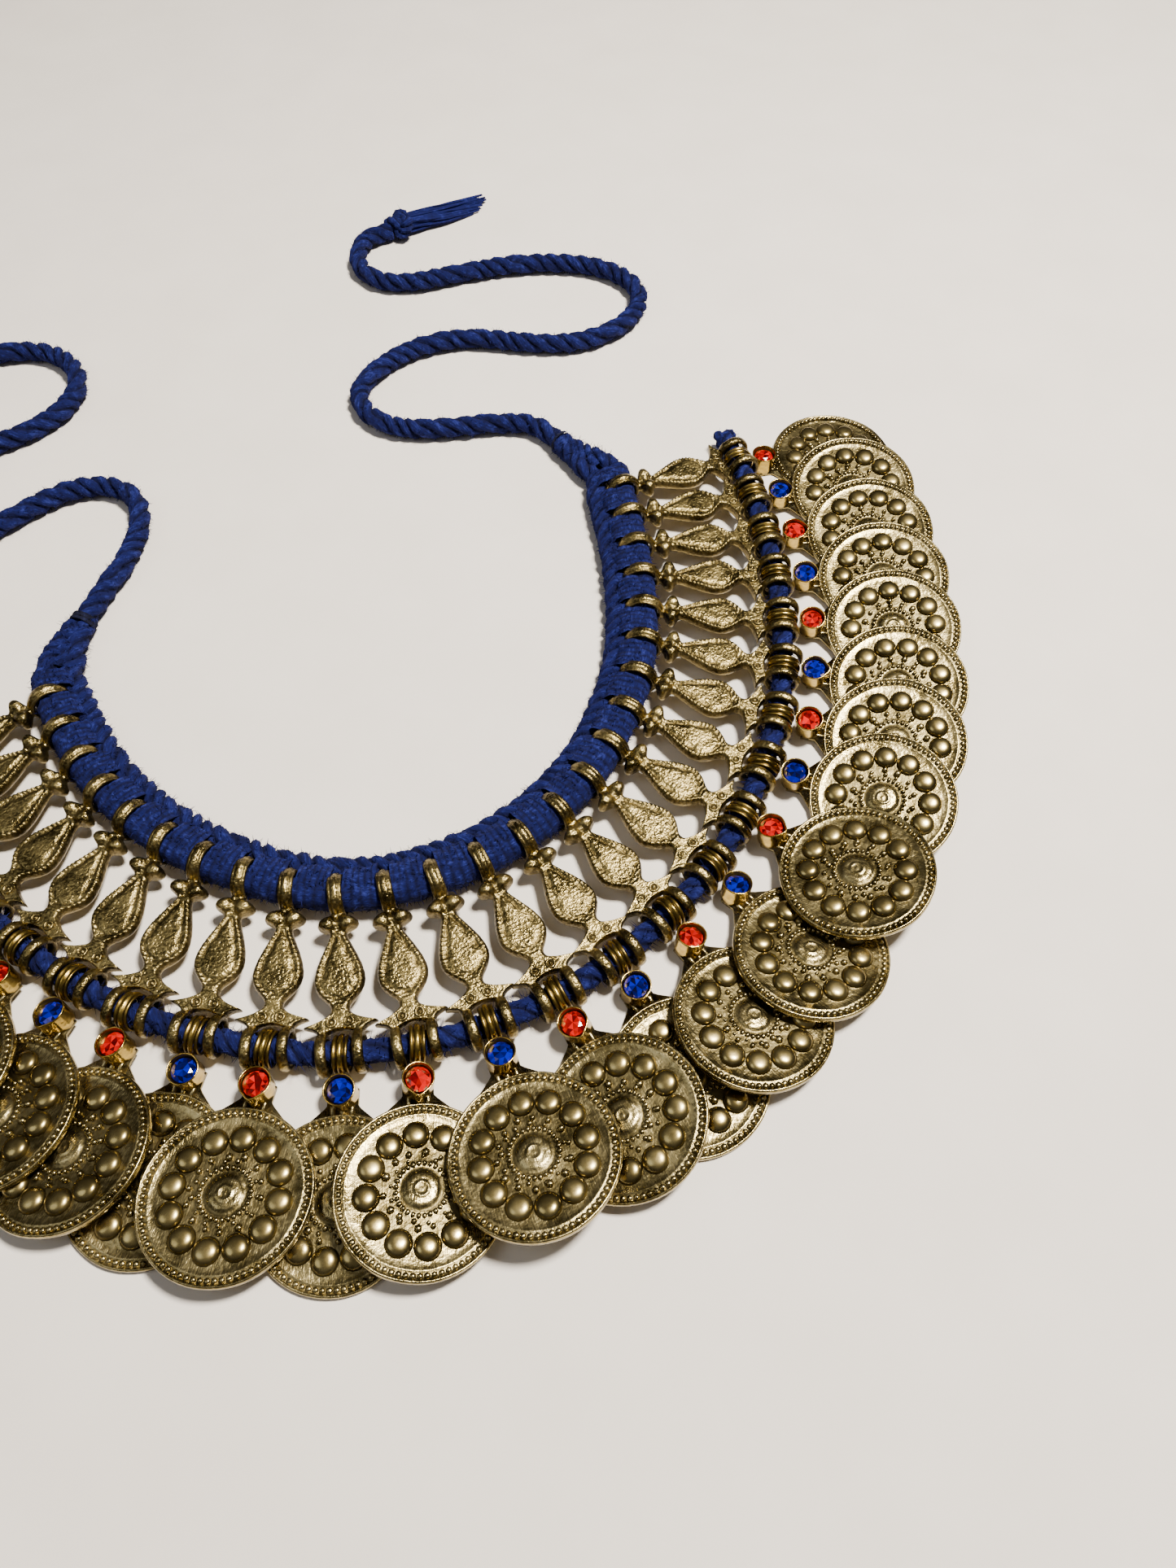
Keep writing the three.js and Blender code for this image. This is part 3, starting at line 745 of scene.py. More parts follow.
circle = {"Vertices": given["Count"], "Radius": given["Circle Radius"]}
drift = any_way(bead_tree, (1, 1, 0), given["Seed"]).scaled(given["Drift"])
spots = bead_tree("GeometryNodeSetPosition", {
    "Geometry": bead_tree("GeometryNodeMeshCircle", circle), "Offset": drift,
})
outward = bead_tree("GeometryNodeInputPosition")
facing = bead_tree("FunctionNodeAlignRotationToVector", {"Vector": outward}, axis="X")
sides = [given["Bead Length"], given["Bead Width"], given["Bead Height"]]
size = bead_tree("ShaderNodeCombineXYZ", dict(enumerate(sides)))
vary = {2: 1.0 - given["Unevenness"], 3: 1.0 + given["Unevenness"], 8: given["Seed"]}
vary = bead_tree("FunctionNodeRandomValue", vary, out=1, data_type="FLOAT")
ball = {"Segments": given["Segments"], "Rings": given["Rings"], "Radius": 1.0}
close(bead_tree("GeometryNodeInstanceOnPoints", {
    "Points": spots, "Instance": bead_tree("GeometryNodeMeshUVSphere", ball),
    "Rotation": facing, "Scale": size.scaled(vary),
}))
FLAT_TOP = 0.5


def bead_circle(lift, **values):
    """A circle of beads as a shape, each sunk to its middle in the face at height lift."""
    mesh = grow(bead_tree, bpy.data.meshes.new("spot"), coin_bronze, segments=6, rings=5, **values)
    points = np.zeros(len(mesh.vertices) * 3)
    mesh.vertices.foreach_get("co", points)
    points = points.reshape(-1, 3)
    crest = max(points[:, 2].max(), 1e-6)
    points[:, 2] = crest * np.sign(points[:, 2]) * np.abs(points[:, 2] / crest) ** FLAT_TOP
    patina = np.clip(1 - points[:, 2] / crest * 2.6, 0, 1)
    faces = [tuple(p.vertices) for p in mesh.polygons]
    bpy.data.meshes.remove(mesh)
    return Shape(points + (0, 0, lift), faces, patina)


# %% [markdown]
# ## A coin drop
# Above the coin a fluted bail runs on the hem cord, and a tall cup holds the stone. The disc is
# turned like a plate on a lathe: a thin bright lip, a band for the milling, a shallow field and a
# boss. The struck circles go on top, and a flat flange joins the disc to the foot of the cup.

# %% The disc, its flange, the bail and the cup
DISC_PROFILE = [
    (0, 0), (5, 0), (10.7, 0), (10.95, 0.12), (11.0, 0.5), (10.97, 0.85), (10.88, 1.02), (10.72, 1.05),
    (10.6, 0.98), (10.5, 0.86), (10.1, 0.86), (9.72, 0.86), (9.62, 0.9), (9.5, 0.92), (9.38, 0.9),
    (9.2, 0.84), (8.6, 0.8), (7.8, 0.8), (6.9, 0.78), (6.0, 0.78), (5.2, 0.78), (4.5, 0.78),
    (3.95, 0.8), (3.62, 0.8), (3.42, 0.85), (2.92, 0.85), (2.68, 0.8), (2.3, 0.9), (2.1, 1.05),
    (1.8, 1.16), (1.3, 1.2), (1.05, 1.2), (0.92, 1.3), (0.72, 1.26), (0.5, 1.18), (0.25, 1.2),
    (0, 1.24),
]
DISC_PATINA = [
    0, 0, 0, 0, 0, 0, 0, 0, 0.2, 0.4, 0.5, 0.4, 0.3, 0, 0, 0.15, 0.1, 0.15, 0.3, 0.5, 0.55, 0.5, 0.4,
    0.7, 0.2, 0.2, 0.9, 0.5, 0.1, 0, 0, 0, 0, 0.3, 0.7, 0.4, 0,
]
FLANGE = [
    (6.9, 7.9), (2.5, 11.6), (2.05, 12.1), (2.05, 14.3), (-2.05, 14.3), (-2.05, 12.1), (-2.5, 11.6),
    (-6.9, 7.9),
]
DOMES = 12
STRUCK = [  # lift, count, circle's radius, a bead's length, width and height, unevenness, drift
    (0.84, 74, 10.12, 0.42, 0.43, 0.36, 0.06, 0.0),
    (0.84, 28, 3.2, 0.4, 0.34, 0.42, 0.1, 0.0),
    (0.78, 14, 4.6, 0.5, 0.46, 0.55, 0.3, 0.18),
    (0.78, 13, 4.0, 0.35, 0.34, 0.4, 0.35, 0.2),
]


def disc(seed):
    made = turned(DISC_PROFILE, 72, patina=DISC_PATINA)
    angle = np.arctan2(made.points[:, 1], made.points[:, 0])
    around = np.stack([np.cos(angle), np.sin(angle), 0 * angle], -1) * 2.2
    wobble = 1 + 0.009 * grain(around, 1.0, seed)
    made.points[:, :2] *= wobble[:, None]
    dent = 0.07 * grain(made.points, 2.4, seed + 60) + 0.035 * grain(made.points, 0.8, seed + 90)
    from_edge = COIN_RADIUS - np.hypot(*made.points[:, :2].T)
    made.points[:, 2] += dent * (made.points[:, 2] > 0.6) * ease(0.4, 1.5, from_edge)
    return made


def flange():
    """A flat plate from its outline, with three flutes along the neck under the cup."""
    thick, count = 0.62, len(FLANGE)
    points = [(x, y, 0.05) for x, y in FLANGE] + [(x, y, thick) for x, y in FLANGE]
    faces = [tuple(reversed(range(count))), tuple(range(count, 2 * count))]
    faces += [(i, (i + 1) % count, (i + 1) % count + count, i + count) for i in range(count)]
    faces = [tuple(reversed(face)) for face in faces]
    plate = Shape(points, faces, 0.1)
    flute = turned([(0, -1.6), (0.34, -1.5), (0.36, 0), (0.34, 1.5), (0, 1.6)], 8)
    flute = flute.moved(Matrix.Rotation(math.pi / 2, 4, "X"))
    flutes = [flute.moved(Matrix.Translation((x, 11.9, thick))) for x in (-1.25, 0, 1.25)]
    return together(plate, *flutes)


def dome_ring(turn):
    rise = np.linspace(0, math.pi / 2, 8)
    profile = [(DOME_RADIUS * math.cos(a) ** 0.75, DOME_HEIGHT * math.sin(a)) for a in rise]
    # The foot of each dome is painted dark all round, darkest where it meets the face: partly patina and
    # partly painted shade.
    marks = [1, 0.75, 0.35, 0.1, 0, 0, 0, 0]
    dome = turned([(DOME_RADIUS + 0.12, -0.2), *profile], 16, patina=[1, *marks], finish=2)
    spots = [turn + 2 * math.pi * k / DOMES for k in range(DOMES)]
    return [
        dome.moved(Matrix.Translation((DOME_CIRCLE * math.cos(a), DOME_CIRCLE * math.sin(a), PLATE - 0.03)))
        for a in spots
    ]


def coin_face(seed):
    """A disc with everything that is struck on it, its back at Z = 0 and its bail towards +Y."""
    rings = [
        bead_circle(
            lift, count=count, circle_radius=radius, bead_length=length, bead_width=width,
            bead_height=height, unevenness=uneven, drift=drift, seed=seed + k,
        )
        for k, (lift, count, radius, length, width, height, uneven, drift) in enumerate(STRUCK)
    ]
    turn = Matrix.Rotation(math.radians(-8 + 16 * ((seed * 7) % 5) / 4), 4, "Z")
    struck = together(*[ring.moved(turn) for ring in rings], *dome_ring(math.atan2(turn[1][0], turn[0][0])))
    return together(disc(seed), struck)


RIDGED = both_sides([
    (0.94, 0.1), (1, 0.35), (0.9, 0.66), (0.66, 0.7), (0.52, 0.35), (0.38, 0.35), (0.28, 0.85), (0, 1.0),
])


def cup(pointed, seed):
    """A tall thin-walled cup for the stone. Some have a small point at the outer end."""
    foot = PLATE / 2 - BAIL_RADIUS
    profile = [
        (0, foot), (CUP_RADIUS - 0.1, foot), (CUP_RADIUS, foot + 0.15), (CUP_RADIUS - 0.04, foot + 0.9),
        (CUP_RADIUS, CUP_TOP - 0.25), (CUP_RADIUS + 0.02, CUP_TOP - 0.05), (CUP_RADIUS - 0.04, CUP_TOP),
        (CUP_RADIUS - 0.15, CUP_TOP), (CUP_RADIUS - 0.2, CUP_TOP - 0.08), (CUP_RADIUS - 0.26, CUP_TOP - 0.9),
        (0, CUP_TOP - 0.95),
    ]
    marks = [0, 0.5, 0.5, 0, 0, 0, 0, 0, 0.4, 1, 1]
    made = turned(profile, 32, patina=marks, finish=1)
    angle = np.arctan2(made.points[:, 1], made.points[:, 0]) + math.pi / 2
    angle = (angle + math.pi) % (2 * math.pi) - math.pi
    point = (0.2 if pointed else 0.03) * np.exp(-((angle / 0.32) ** 2))
    reach = np.hypot(*made.points[:, :2].T)
    made.points[:, :2] *= (1 + point * ease(1.2, 1.8, reach))[:, None]
    return lumpy(made, 0.04, 1.6, seed)


def drop_shape(seed, pointed):
    bail = strap(BAIL_BORE, BAIL_RADIUS, BAIL_WIDTH, RIDGED, 36)
    bail.finish = [1] * len(bail.faces)
    bail.patina = np.clip(np.asarray(bail.patina) * 1.3 + 0.2, 0, 1)
    holder = cup(pointed, seed).moved(Matrix.Translation((0, -CUP_REACH, 0)))
    face = together(coin_face(seed), flange()).moved(Matrix.Translation((0, -COIN_REACH, -BAIL_RADIUS)))
    return cleaned(together(face, bail, holder))


# %% The facets of a stone
STONE_RADIUS, TABLE_RADIUS, MAIN_RADIUS = 1.66, 0.98, 1.38
GIRDLE_HEIGHT, SKIRT_HEIGHT = -0.42, -0.62


def stone_shape(seed, pointed):
    """Eight wedges of the table, then rings of star, main and girdle facets, each face on its own."""
    def ring(radius, height, count, turn=0.0):
        angles = [2 * math.pi * (k + turn) / count for k in range(count)]
        return [Vector((radius * math.cos(a), radius * math.sin(a), height)) for a in angles]

    table = ring(TABLE_RADIUS, 0.0, 8, 0.5)
    main = ring(MAIN_RADIUS, -0.2, 8)
    girdle = ring(STONE_RADIUS, GIRDLE_HEIGHT, 16)
    skirt = ring(STONE_RADIUS, SKIRT_HEIGHT, 16)
    middle = Vector((0, 0, -0.05))
    facets = []
    for k in range(8):
        after = (k + 1) % 8
        facets.append((middle, table[k], table[after]))
        facets.append((table[k - 1], main[k], table[k]))
        g = 2 * k
        facets.append((main[k], girdle[(g + 1) % 16], table[k]))
        facets.append((table[k], girdle[(g + 1) % 16], main[after]))
        facets.append((main[k], girdle[g], girdle[(g + 1) % 16]))
        facets.append((main[k], girdle[g - 1], girdle[g]))
    for k in range(16):
        facets.append((girdle[k - 1], skirt[k - 1], skirt[k], girdle[k]))
    points, faces, painted_reflection = [], [], []
    chance = np.random.default_rng(500 + seed)
    for facet in facets:
        faces.append(range(len(points), len(points) + len(facet)))
        points.extend(facet)
        # Each facet gets a random share of painted reflection, bright or deep; the skirt below gets none and
        # stays deep.
        painted_reflection.extend([chance.random() ** 1.6] * len(facet))
    faces.append(range(len(points) + 15, len(points) - 1, -1))
    points.extend(skirt)
    painted_reflection.extend([0.0] * 16)
    made = Shape([tuple(p) for p in points], faces, painted_reflection)
    if pointed:
        made.points[:, 1] -= 0.12 * ease(0.6, 1.7, -made.points[:, 1])
    return made


POINTED_CUPS = {2, 5, 8, 12, 14, 16, 19, 22}
for index, (station, (lie, swing)) in enumerate(zip(stations, LIES)):
    number = f"{index + 1:02d}"
    place = drop_place(station, lie, swing)
    pointed = index in POINTED_CUPS
    shape = drop_shape(index, pointed).moved(place, keep_plan=True)
    piece("coin_" + number, shape, [coin_bronze, bail_brass, dome_bronze], ["drop_" + number])
    stone = stone_shape(index, pointed).moved(Matrix.Translation((0, -CUP_REACH, CUP_TOP - 0.28)))
    glass = red_glass if index % 2 == 0 else blue_glass
    piece("stone_" + number, stone.moved(place, keep_plan=True), [glass], smooth=False)
print("faces in one drop:", len(shape.faces))

# %% [markdown]
# ## What every cord has
# The cords are made by two trees, one for plied rope and one for wound yarn. Both cut the path
# into even steps and close its ends, roughen the skin, and grow the loose fibres that make cotton
# look soft. These functions add those nodes to either tree.

# %% Nodes that both trees share
END_ROUNDING, LEAST_END = 0.5, 0.0001
FIBRE_TIP, FIBRE_FOOT = 0.00001, 0.00006


def store(tree, geometry, name, value, kind="FLOAT"):
    inputs = {"Geometry": geometry, "Name": name, "Value": value}
    return tree("GeometryNodeStoreNamedAttribute", inputs, data_type=kind, domain="POINT")


def even_route(tree, given, step):
    """The path in even steps, how far along it a point is, and how far from the nearer end."""
    inputs = {"Curve": given["Geometry"], "Length": step}
    route = tree("GeometryNodeResampleCurve", inputs, mode="LENGTH")
    route = tree("GeometryNodeSetCurveNormal", {"Curve": route}, mode="Z_UP")
    walked = tree("GeometryNodeSplineParameter", out="Length")
    total = tree("GeometryNodeSplineLength", out="Length")
    return store(tree, route, "along", walked), walked, tree.calc("MINIMUM", walked, total - walked)


def round_end(tree, to_end, taper):
    return tree("ShaderNodeClamp", {"Value": to_end / taper, "Min": LEAST_END}) ** END_ROUNDING


def plain_section(tree, given):
    inputs = {"Resolution": given["Sides"], "Radius": given["Radius"]}
    return tree("GeometryNodeCurvePrimitiveCircle", inputs), tree("GeometryNodeInputPosition")


def hairy(tree, given, route, section, fibre_length):
    """The section drawn along the route, its skin roughened and set with loose fibres."""
    cord = tree("GeometryNodeCurveToMesh", {"Curve": route, "Profile Curve": section})
    rough = tree("ShaderNodeTexNoise", {"Scale": 800.0, "Detail": 3.0}, out="Fac")
    push = tree("GeometryNodeInputNormal").scaled((rough - 0.5) * given["Roughen"])
    cord = tree("GeometryNodeSetPosition", {"Geometry": cord, "Offset": push})
    cord = tree("GeometryNodeMergeByDistance", {"Geometry": cord, "Distance": 0.000005})
    inputs = {"Mesh": cord, "Density": given["Fibres"], "Seed": given["Seed"]}
    roots = tree.node("GeometryNodeDistributePointsOnFaces", inputs, distribute_method="RANDOM")
    roots = tree.outputs(roots)
    lay = {0: roots["Normal"], 1: any_way(tree, (1, 1, 1), given["Seed"])}
    lay = tree("ShaderNodeVectorMath", lay, operation="ADD")
    standing = tree("FunctionNodeAlignRotationToVector", {"Vector": lay}, axis="Z")
    hair = tree("GeometryNodeMeshCone", {
        "Vertices": 3, "Radius Top": FIBRE_TIP, "Radius Bottom": FIBRE_FOOT, "Depth": fibre_length,
    })
    hairs = {"Points": roots["Points"], "Instance": hair, "Rotation": standing}
    whole = tree.node("GeometryNodeJoinGeometry")
    for part in (cord, tree("GeometryNodeInstanceOnPoints", hairs)):
        tree.fill(whole, {0: part})
    return Output(tree, whole.outputs[0])


def curve_of(*lines):
    """A curve of straight steps through each list of points, in millimetres."""
    curve = bpy.data.curves.new("route", "CURVE")
    curve.dimensions = "3D"
    for points in lines:
        spline = curve.splines.new("POLY")
        spline.points.add(len(points) - 1)
        for spot, (x, y, z) in zip(spline.points, points):
            spot.co = (x * MM, y * MM, z * MM, 1)
    return curve


def cord_piece(tree, name, lines, finish=blue_cotton, replaces=(), **values):
    mesh = grow(tree, curve_of(*lines), finish, **values)
    mesh.name = name
    print(name, "polygons:", len(mesh.polygons))
    return finished(bpy.data.objects.new(name, mesh), replaces)


# %% [markdown]
# ## Plied rope
# The ties are three soft strands laid round each other, and so are the edge of the collar and the
# hem cord. Three tubes wound by hand would cross where the path bends. A single section with
# three lobes, turned a little more at each step along the path, has the same grooves and never
# crosses itself. The turns wander a little, as a hand-laid rope's do.

# %% A tree for plied rope
TURN_WANDER = 0.7
rope_tree, given, close = new_tree("plied_rope", {
    "Radius": ("Float", 0.0022), "Strands": ("Int", 3), "Lay Length": ("Float", 0.012),
    "Groove": ("Float", 0.3), "Step": ("Float", 0.0005), "Sides": ("Int", 24),
    "Roughen": ("Float", 0.0003), "Fibres": ("Float", 500000.0), "Fibre Length": ("Float", 0.001),
    "End Taper": ("Float", 0.002), "Seed": ("Int", 0), "Material": ("Material", None),
})
route, walked, to_end = even_route(rope_tree, given, given["Step"])
wander = rope_tree("ShaderNodeTexNoise", {"Scale": 140.0, "Detail": 1.0}, out="Fac")
turns = walked / given["Lay Length"] + wander * TURN_WANDER
route = rope_tree("GeometryNodeSetCurveTilt", {0: route, "Tilt": turns * (2 * math.pi)})
closing = round_end(rope_tree, to_end, given["End Taper"])
route = rope_tree("GeometryNodeSetCurveRadius", {0: route, "Radius": closing})

section, spot = plain_section(rope_tree, given)
across = rope_tree.outputs(rope_tree.node("ShaderNodeSeparateXYZ", {0: spot}))
angle = rope_tree.calc("ARCTAN2", across["Y"], across["X"])
lobes = abs(rope_tree.calc("COSINE", angle * (given["Strands"] * 0.5))) ** 0.6
hollow = 1.0 - lobes
# The stored hollow also sets where the cotton is painted with shade in its grooves.
section = store(rope_tree, section, "hollow", hollow)
section = store(rope_tree, section, "section", spot, "FLOAT_VECTOR")
lobed = spot.scaled(1.0 - hollow * given["Groove"])
section = rope_tree("GeometryNodeSetPosition", {"Geometry": section, "Position": lobed})
close(hairy(rope_tree, given, route, section, given["Fibre Length"]))


def rope_piece(name, points, **values):
    return cord_piece(rope_tree, name, [points], **values)


def flat_route(points, height):
    return [(x, y, height) for x, y in smooth_line(points, 12)]


# %% [markdown]
# ## The ties and their tassels
# Each tie is a free rope that wanders over the cloth to an overhand knot, and past the knot its
# threads hang loose. The knot is the simplest real one, a trefoil, and the threads are thin curves
# that spread from it, each with its own small wave.

# %% The ropes
TIE_HEIGHT, TIE_RADIUS = 2.1, 1.85
THREAD_STEPS, THREAD_LENGTH, THREADS = 13, 20.0, 150


def knot_points(centre, heading, size, steps=96):
    turn = np.linspace(0, 2 * math.pi, steps)
    x = (np.sin(turn) + 2 * np.sin(2 * turn)) * size
    y = (np.cos(turn) - 2 * np.cos(2 * turn)) * size
    z = -np.sin(3 * turn) * size * 1.1
    c, s = math.cos(heading), math.sin(heading)
    return [(centre[0] + c * a - s * b, centre[1] + s * a + c * b, centre[2] + h) for a, b, h in zip(x, y, z)]


def loose_threads(name, start, heading, length, count, spread, seed):
    chance = np.random.default_rng(seed)
    curve = bpy.data.curves.new(name, "CURVE")
    curve.dimensions = "3D"
    curve.bevel_depth, curve.bevel_resolution = 0.0002, 1
    side = np.array([-math.sin(heading), math.cos(heading)])
    front = np.array([math.cos(heading), math.sin(heading)])
    clumps = [(offset, chance.uniform(0.72, 1.0)) for offset in np.linspace(-1.7, 1.7, 9)]
    for number in range(count):
        offset, reach = clumps[number % len(clumps)]
        offset, lift = offset + chance.normal(0, 0.22), chance.uniform(-1, 1)
        reach *= length * chance.uniform(0.86, 1.05)
        wave, phase = chance.uniform(0.1, 0.45), chance.uniform(0, 2 * math.pi)
        spline = curve.splines.new("POLY")
        spline.points.add(THREAD_STEPS)
        for k, spot in enumerate(spline.points):
            share = k / THREAD_STEPS
            fan = 0.6 + spread * math.sin(math.pi * share * 0.6)
            across = offset * fan + wave * math.sin(5 * share + phase)
            fall = (1 - share) * 2.3 + share * 0.7
            height = max(0.25, fall + lift * (1.3 - 0.9 * share))
            place = np.array(start[:2]) + front * reach * share + side * across
            spot.co = (*(place * MM), height * MM, 1)
    return mesh_of(bpy.data.objects.new(name, curve))


def tie(side, route, seed):
    path = flat_route(route, TIE_HEIGHT)
    rope = rope_piece(
        "rope_" + side, path, replaces=["tie_" + side], radius=TIE_RADIUS * MM, lay_length=0.0105,
        groove=0.4, roughen=0.0008, fibres=900000.0, fibre_length=0.0007, seed=seed,
    )
    ahead = np.array(route[-1]) - np.array(route[-2])
    heading = math.atan2(ahead[1], ahead[0])
    front = ahead / np.linalg.norm(ahead)
    middle = np.array(route[-1]) + front * 2.6
    knot = rope_piece(
        "knot_" + side, knot_points((*middle, 2.7), heading, 0.78), radius=0.00142, lay_length=0.006,
        groove=0.35, roughen=0.0005, fibres=450000.0, end_taper=0.0001, seed=seed + 5,
    )
    root = middle + front * 1.5
    brush_mesh = loose_threads("threads_" + side, root, heading, THREAD_LENGTH, THREADS, 0.45, seed)
    brush_mesh.materials.clear()
    brush_mesh.materials.append(blue_cotton)
    brush = finished(bpy.data.objects.new("threads_" + side, brush_mesh), ["tassel_" + side])


tie("right", TIE_RIGHT, 11)
tie("left", TIE_LEFT, 23)

# %% [markdown]
# ## The collar
# The collar is a core cord, wound with yarn, and along its inner edge runs a plaited rope that
# gives the scalloped rim. Between two hooks a flat wrap of thicker yarn covers both, so the hook
# rings sit in the gaps. The winding is a tube whose radius rises and falls: quickly for each turn
# of yarn, slowly from hook to hook.

# %% A tree for wound yarn
STEPS_PER_TURN, YARN_TAPER, YARN_FIBRE = 6.0, 0.0012, 0.0009
wound_tree, given, close = new_tree("wound_yarn", {
    "Radius": ("Float", 0.0022), "Yarn": ("Float", 0.0008), "Depth": ("Float", 0.1),
    "Swell": ("Float", 0.1), "Spacing": ("Float", 0.007), "Offset": ("Float", 0.005),
    "Sides": ("Int", 20), "Fibres": ("Float", 300000.0), "Roughen": ("Float", 0.0004),
    "Flatness": ("Float", 1.0), "Seed": ("Int", 0), "Material": ("Material", None),
})
route, walked, to_end = even_route(wound_tree, given, given["Yarn"] / STEPS_PER_TURN)
bump = abs(wound_tree.calc("SINE", walked / given["Yarn"] * math.pi)) ** 0.7
between = (walked - given["Offset"]) / given["Spacing"]
swell = wound_tree.calc("COSINE", between * (2 * math.pi))
hollow = 1.0 - bump
thick = 1.0 - swell * given["Swell"] - hollow * given["Depth"]
# The stored hollow also sets where the cotton is painted with shade in its grooves.
route = store(wound_tree, route, "hollow", hollow)
thick = thick * round_end(wound_tree, to_end, YARN_TAPER)
route = wound_tree("GeometryNodeSetCurveRadius", {0: route, "Radius": thick})
section, spot = plain_section(wound_tree, given)
section = store(wound_tree, section, "section", spot, "FLOAT_VECTOR")
flat = wound_tree("ShaderNodeCombineXYZ", {0: given["Flatness"], 1: 1.0, 2: 1.0})
section = wound_tree("GeometryNodeTransform", {"Geometry": section, "Scale": flat})
close(hairy(wound_tree, given, route, section, YARN_FIBRE))


# %% The collar's cord, its plaited edge and the hem
BESIDE, AT_END, EDGE_HEIGHT = 4.5, 3.6, 2.4
ends = [np.array(COLLAR_ROWS[0][1:3]), np.array(COLLAR_ROWS[-1][1:3])]
core = [(*p, HOOK_RADIUS) for p in collar_line[::6]]
cord_piece(
    wound_tree, "collar_winding", [core], replaces=["collar_cord"], radius=0.0021, swell=0.12,
    depth=0.09, yarn=0.0013, sides=16, roughen=0.0011, fibres=300000.0, spacing=hook_spacing * MM,
    offset=COLLAR_LEAD * MM, seed=3,
)

WRAP_LENGTH, WRAP_ASIDE, WRAP_HEIGHT = hook_spacing - HOOK_WIDTH + 0.1, 1.3, 3.0
wraps = []
for gap in range(-1, BARS):
    middle = COLLAR_LEAD + hook_spacing * (gap + 0.5)
    stretch = np.linspace(middle - WRAP_LENGTH / 2, middle + WRAP_LENGTH / 2, 7)
    stretch = stretch[(stretch > 0.5) & (stretch < collar_length - 0.5)]
    aside = stations[min(max(gap, 0), BARS - 1)]["inward"] + stations[min(gap + 1, BARS - 1)]["inward"]
    aside *= WRAP_ASIDE / np.linalg.norm(aside)
    wraps.append([(*(at_length(collar_line, where) + aside), WRAP_HEIGHT) for where in stretch])
cord_piece(
    wound_tree, "collar_wraps", wraps, radius=0.0025, swell=0.0, depth=0.14, yarn=0.0009,
    flatness=1.32, sides=28, roughen=0.0015, fibres=1100000.0, seed=5,
)

edge_row = [s["hook"] + s["inward"] * BESIDE for s in stations]
edge_ends = [ends[0] + stations[0]["inward"] * AT_END, ends[1] + stations[-1]["inward"] * AT_END]
edge_line = [(x, y, EDGE_HEIGHT) for x, y in smooth_line([edge_ends[0], *edge_row, edge_ends[1]], 12)]
rope_piece(
    "collar_edge", edge_line, replaces=["collar_braid"], radius=0.002, lay_length=0.0078,
    groove=0.36, roughen=0.0011, fibres=900000.0, fibre_length=0.0009, seed=4,
)

HEM_KNOT_RADIUS = 2.3
beyond = (CLEVIS_GAP + 2 * CLEVIS_WIDTH) / 2 + CLEAR + HEM_KNOT_RADIUS
hem_ends = [
    s["clevis"] + side * beyond * np.array([-s["outward"][1], s["outward"][0]])
    for s, side in ((stations[0], 1), (stations[-1], -1))
]
hem_row = [hem_ends[0], *[s["clevis"] for s in stations], hem_ends[1]]
hem_line = [(x, y, CLEVIS_RADIUS) for x, y in smooth_line(hem_row, 12)]
rope_piece(
    "hem_rope", hem_line, replaces=["hem_cord"], radius=0.00168, lay_length=0.009, groove=0.22,
    roughen=0.001, fibres=1000000.0, fibre_length=0.0014, seed=6,
)
for number, (spot, station) in enumerate(zip(hem_ends, (stations[0], stations[-1]))):
    knot = knot_points((*spot, CLEVIS_RADIUS), station["fan"], 0.5)
    rope_piece(f"hem_knot_{number + 1}", knot, radius=0.001, lay_length=0.005, groove=0.25,
               fibres=400000.0, end_taper=0.0001, seed=8 + number)

# %% The collar's two ends, and the dark bindings where they become a rope
BINDING_REACH = (0.05, 0.22)
for number, (end, edge_end) in enumerate(zip(ends, edge_ends)):
    side = ("right", "left")[number]
    route = (TIE_RIGHT, TIE_LEFT)[number]
    joint, before = np.array(route[2]), np.array(route[1])
    across = np.array([before[1] - joint[1], joint[0] - before[0]]) / np.linalg.norm(joint - before)
    across *= math.copysign(1.0, across @ (edge_end - end))
    for label, first, height in (("inner", edge_end, EDGE_HEIGHT), ("outer", end, HOOK_RADIUS)):
        lean_in = across * (1.0 if label == "inner" else -1.0)
        middle = (first + before) / 2 + lean_in * 1.2
        line = smooth_line([first, middle, before + lean_in * 1.3, joint + lean_in * 0.6], 12)
        heights = np.linspace(height, TIE_HEIGHT, len(line))
        line = [(*p, z) for p, z in zip(line, heights)]
        rope_piece(f"collar_end_{label}_{side}", line, radius=0.0017, lay_length=0.0095, groove=0.35,
                   roughen=0.001, fibres=900000.0, end_taper=0.006, seed=30 + number)
    back = before - joint
    wrap = smooth_line([joint + back * BINDING_REACH[number], joint, joint - back * 0.04], 12)
    cord_piece(
        wound_tree, "binding_" + side, [[(*p, TIE_HEIGHT + 0.1) for p in wrap]], dark_thread,
        radius=0.00215, swell=0.0, depth=0.25, yarn=0.0007, roughen=0.0008, fibres=600000.0,
        seed=40 + number,
    )

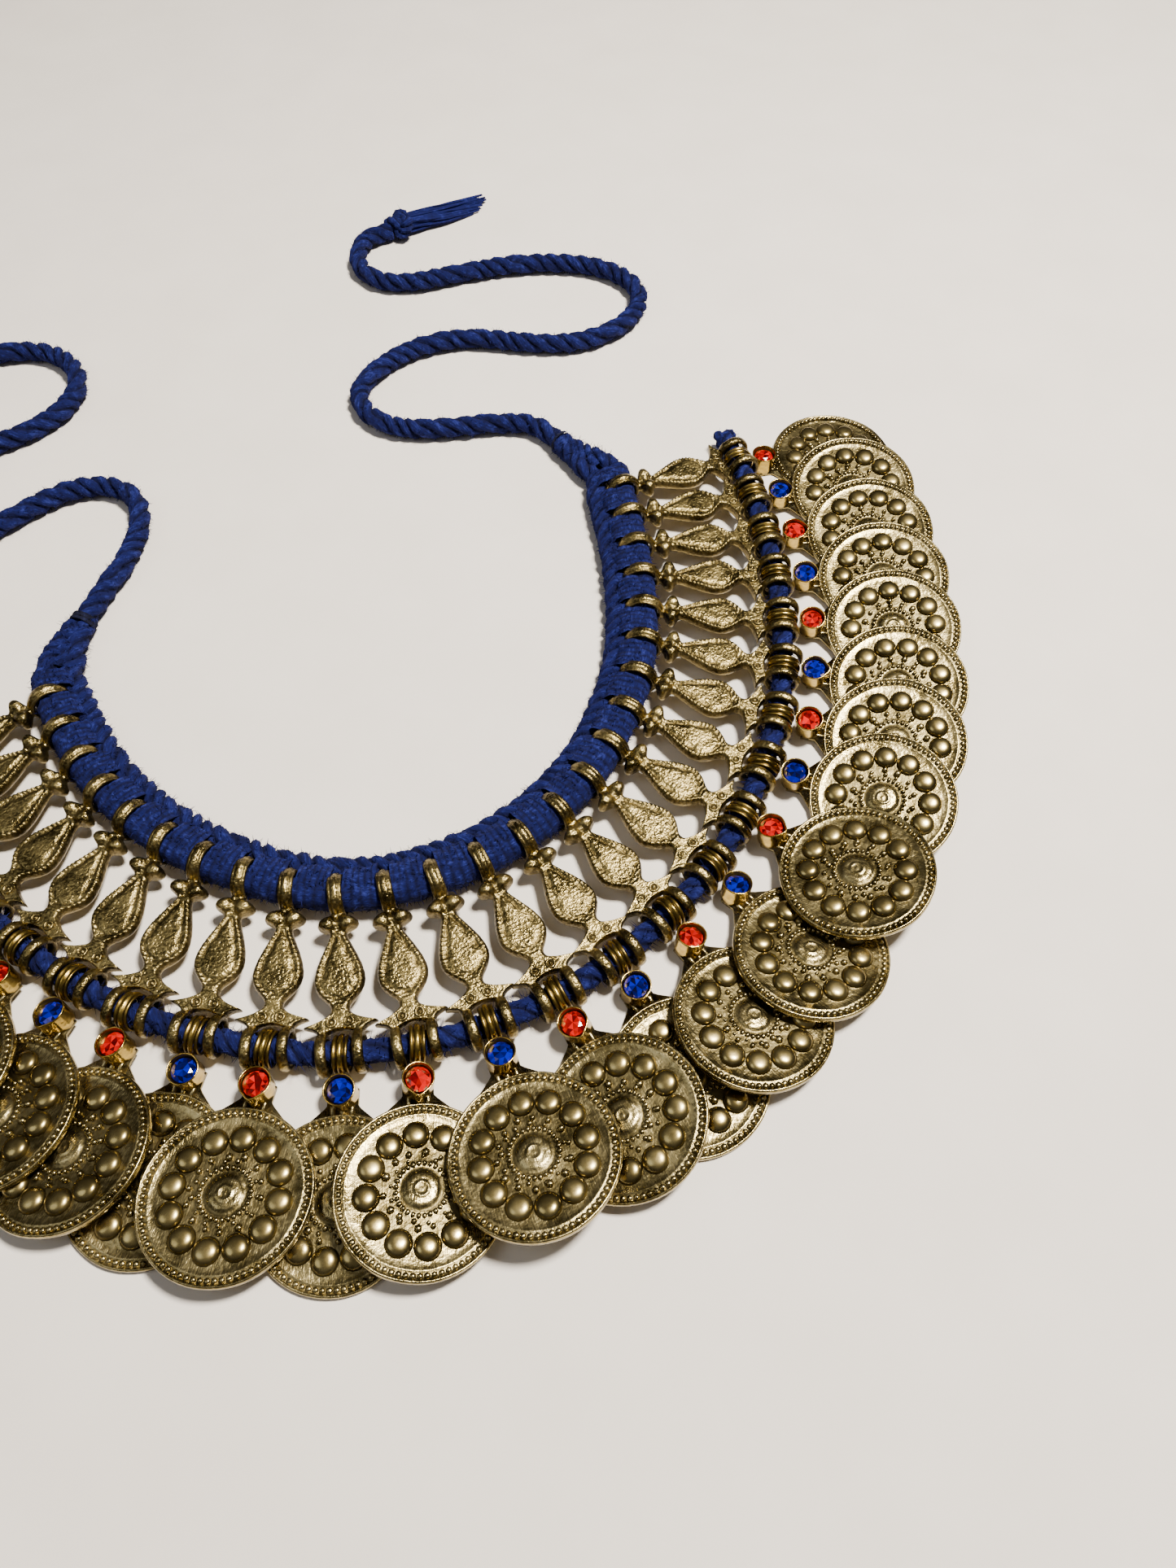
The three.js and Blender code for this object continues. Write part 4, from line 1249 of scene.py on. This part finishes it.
# %% [markdown]
# ## Floor and light
# A plain pale cloth-coloured floor keeps the eye on the metal. Brass shows the room more than
# itself: under an even sky it goes flat, so one soft lamp stands up and to the right, as the
# highlights on the domes say, with a weak second one and a sky that is darker at the horizon.

# %% Floor, lamps and sky
floor_mesh = bpy.data.meshes.new("floor")
floor_mesh.from_pydata([(-3, -3, 0), (3, -3, 0), (3, 3, 0), (-3, 3, 0)], [], [(0, 1, 2, 3)])
floor = bpy.data.objects.new("floor", floor_mesh)
floor_finish, tree, shader = material("pale_cloth")
cloth = noise_in(tree, place_in(tree), 60, 4)
cloth = ramp(tree, cloth, (0.3, (0.76, 0.71, 0.65)), (0.7, (0.80, 0.75, 0.69)))
tree.fill(shader, {"Base Color": cloth, "Roughness": 0.9})
floor_mesh.materials.append(floor_finish)
bpy.context.scene.collection.objects.link(floor)


def lamp(name, place, target, size, power, colour):
    data = bpy.data.lights.new(name, "AREA")
    data.shape, data.size, data.energy, data.color = "DISK", size, power, colour
    made = bpy.data.objects.new(name, data)
    made.location = place
    made.rotation_mode = "QUATERNION"
    made.rotation_quaternion = (Vector(target) - Vector(place)).to_track_quat("-Z", "Y")
    bpy.context.scene.collection.objects.link(made)


LAMP_TARGET = (0, 0.03, 0)
lamp("window", RIGHT * 0.19 + AHEAD * 0.07 + Vector((0, 0, 0.52)), LAMP_TARGET, 0.10, 9.5, (1, 0.93, 0.83))
lamp("fill", RIGHT * -0.45 + AHEAD * -0.1 + Vector((0, 0, 0.6)), LAMP_TARGET, 0.4, 0.7, (0.92, 0.95, 1))

sky = bpy.data.worlds.new("soft_sky")
sky.use_nodes = True
bpy.context.scene.world = sky
tree = Tree(sky.node_tree)
up = tree("ShaderNodeSeparateXYZ", {0: tree("ShaderNodeTexCoord", out="Generated")}, out=2)
glow = ramp(tree, up, (0.0, (0.08, 0.07, 0.06)), (0.45, (0.14, 0.13, 0.12)), (0.9, (0.42, 0.40, 0.38)))
tree.fill(tree.group.nodes["Background"], {"Color": glow, "Strength": 0.5})
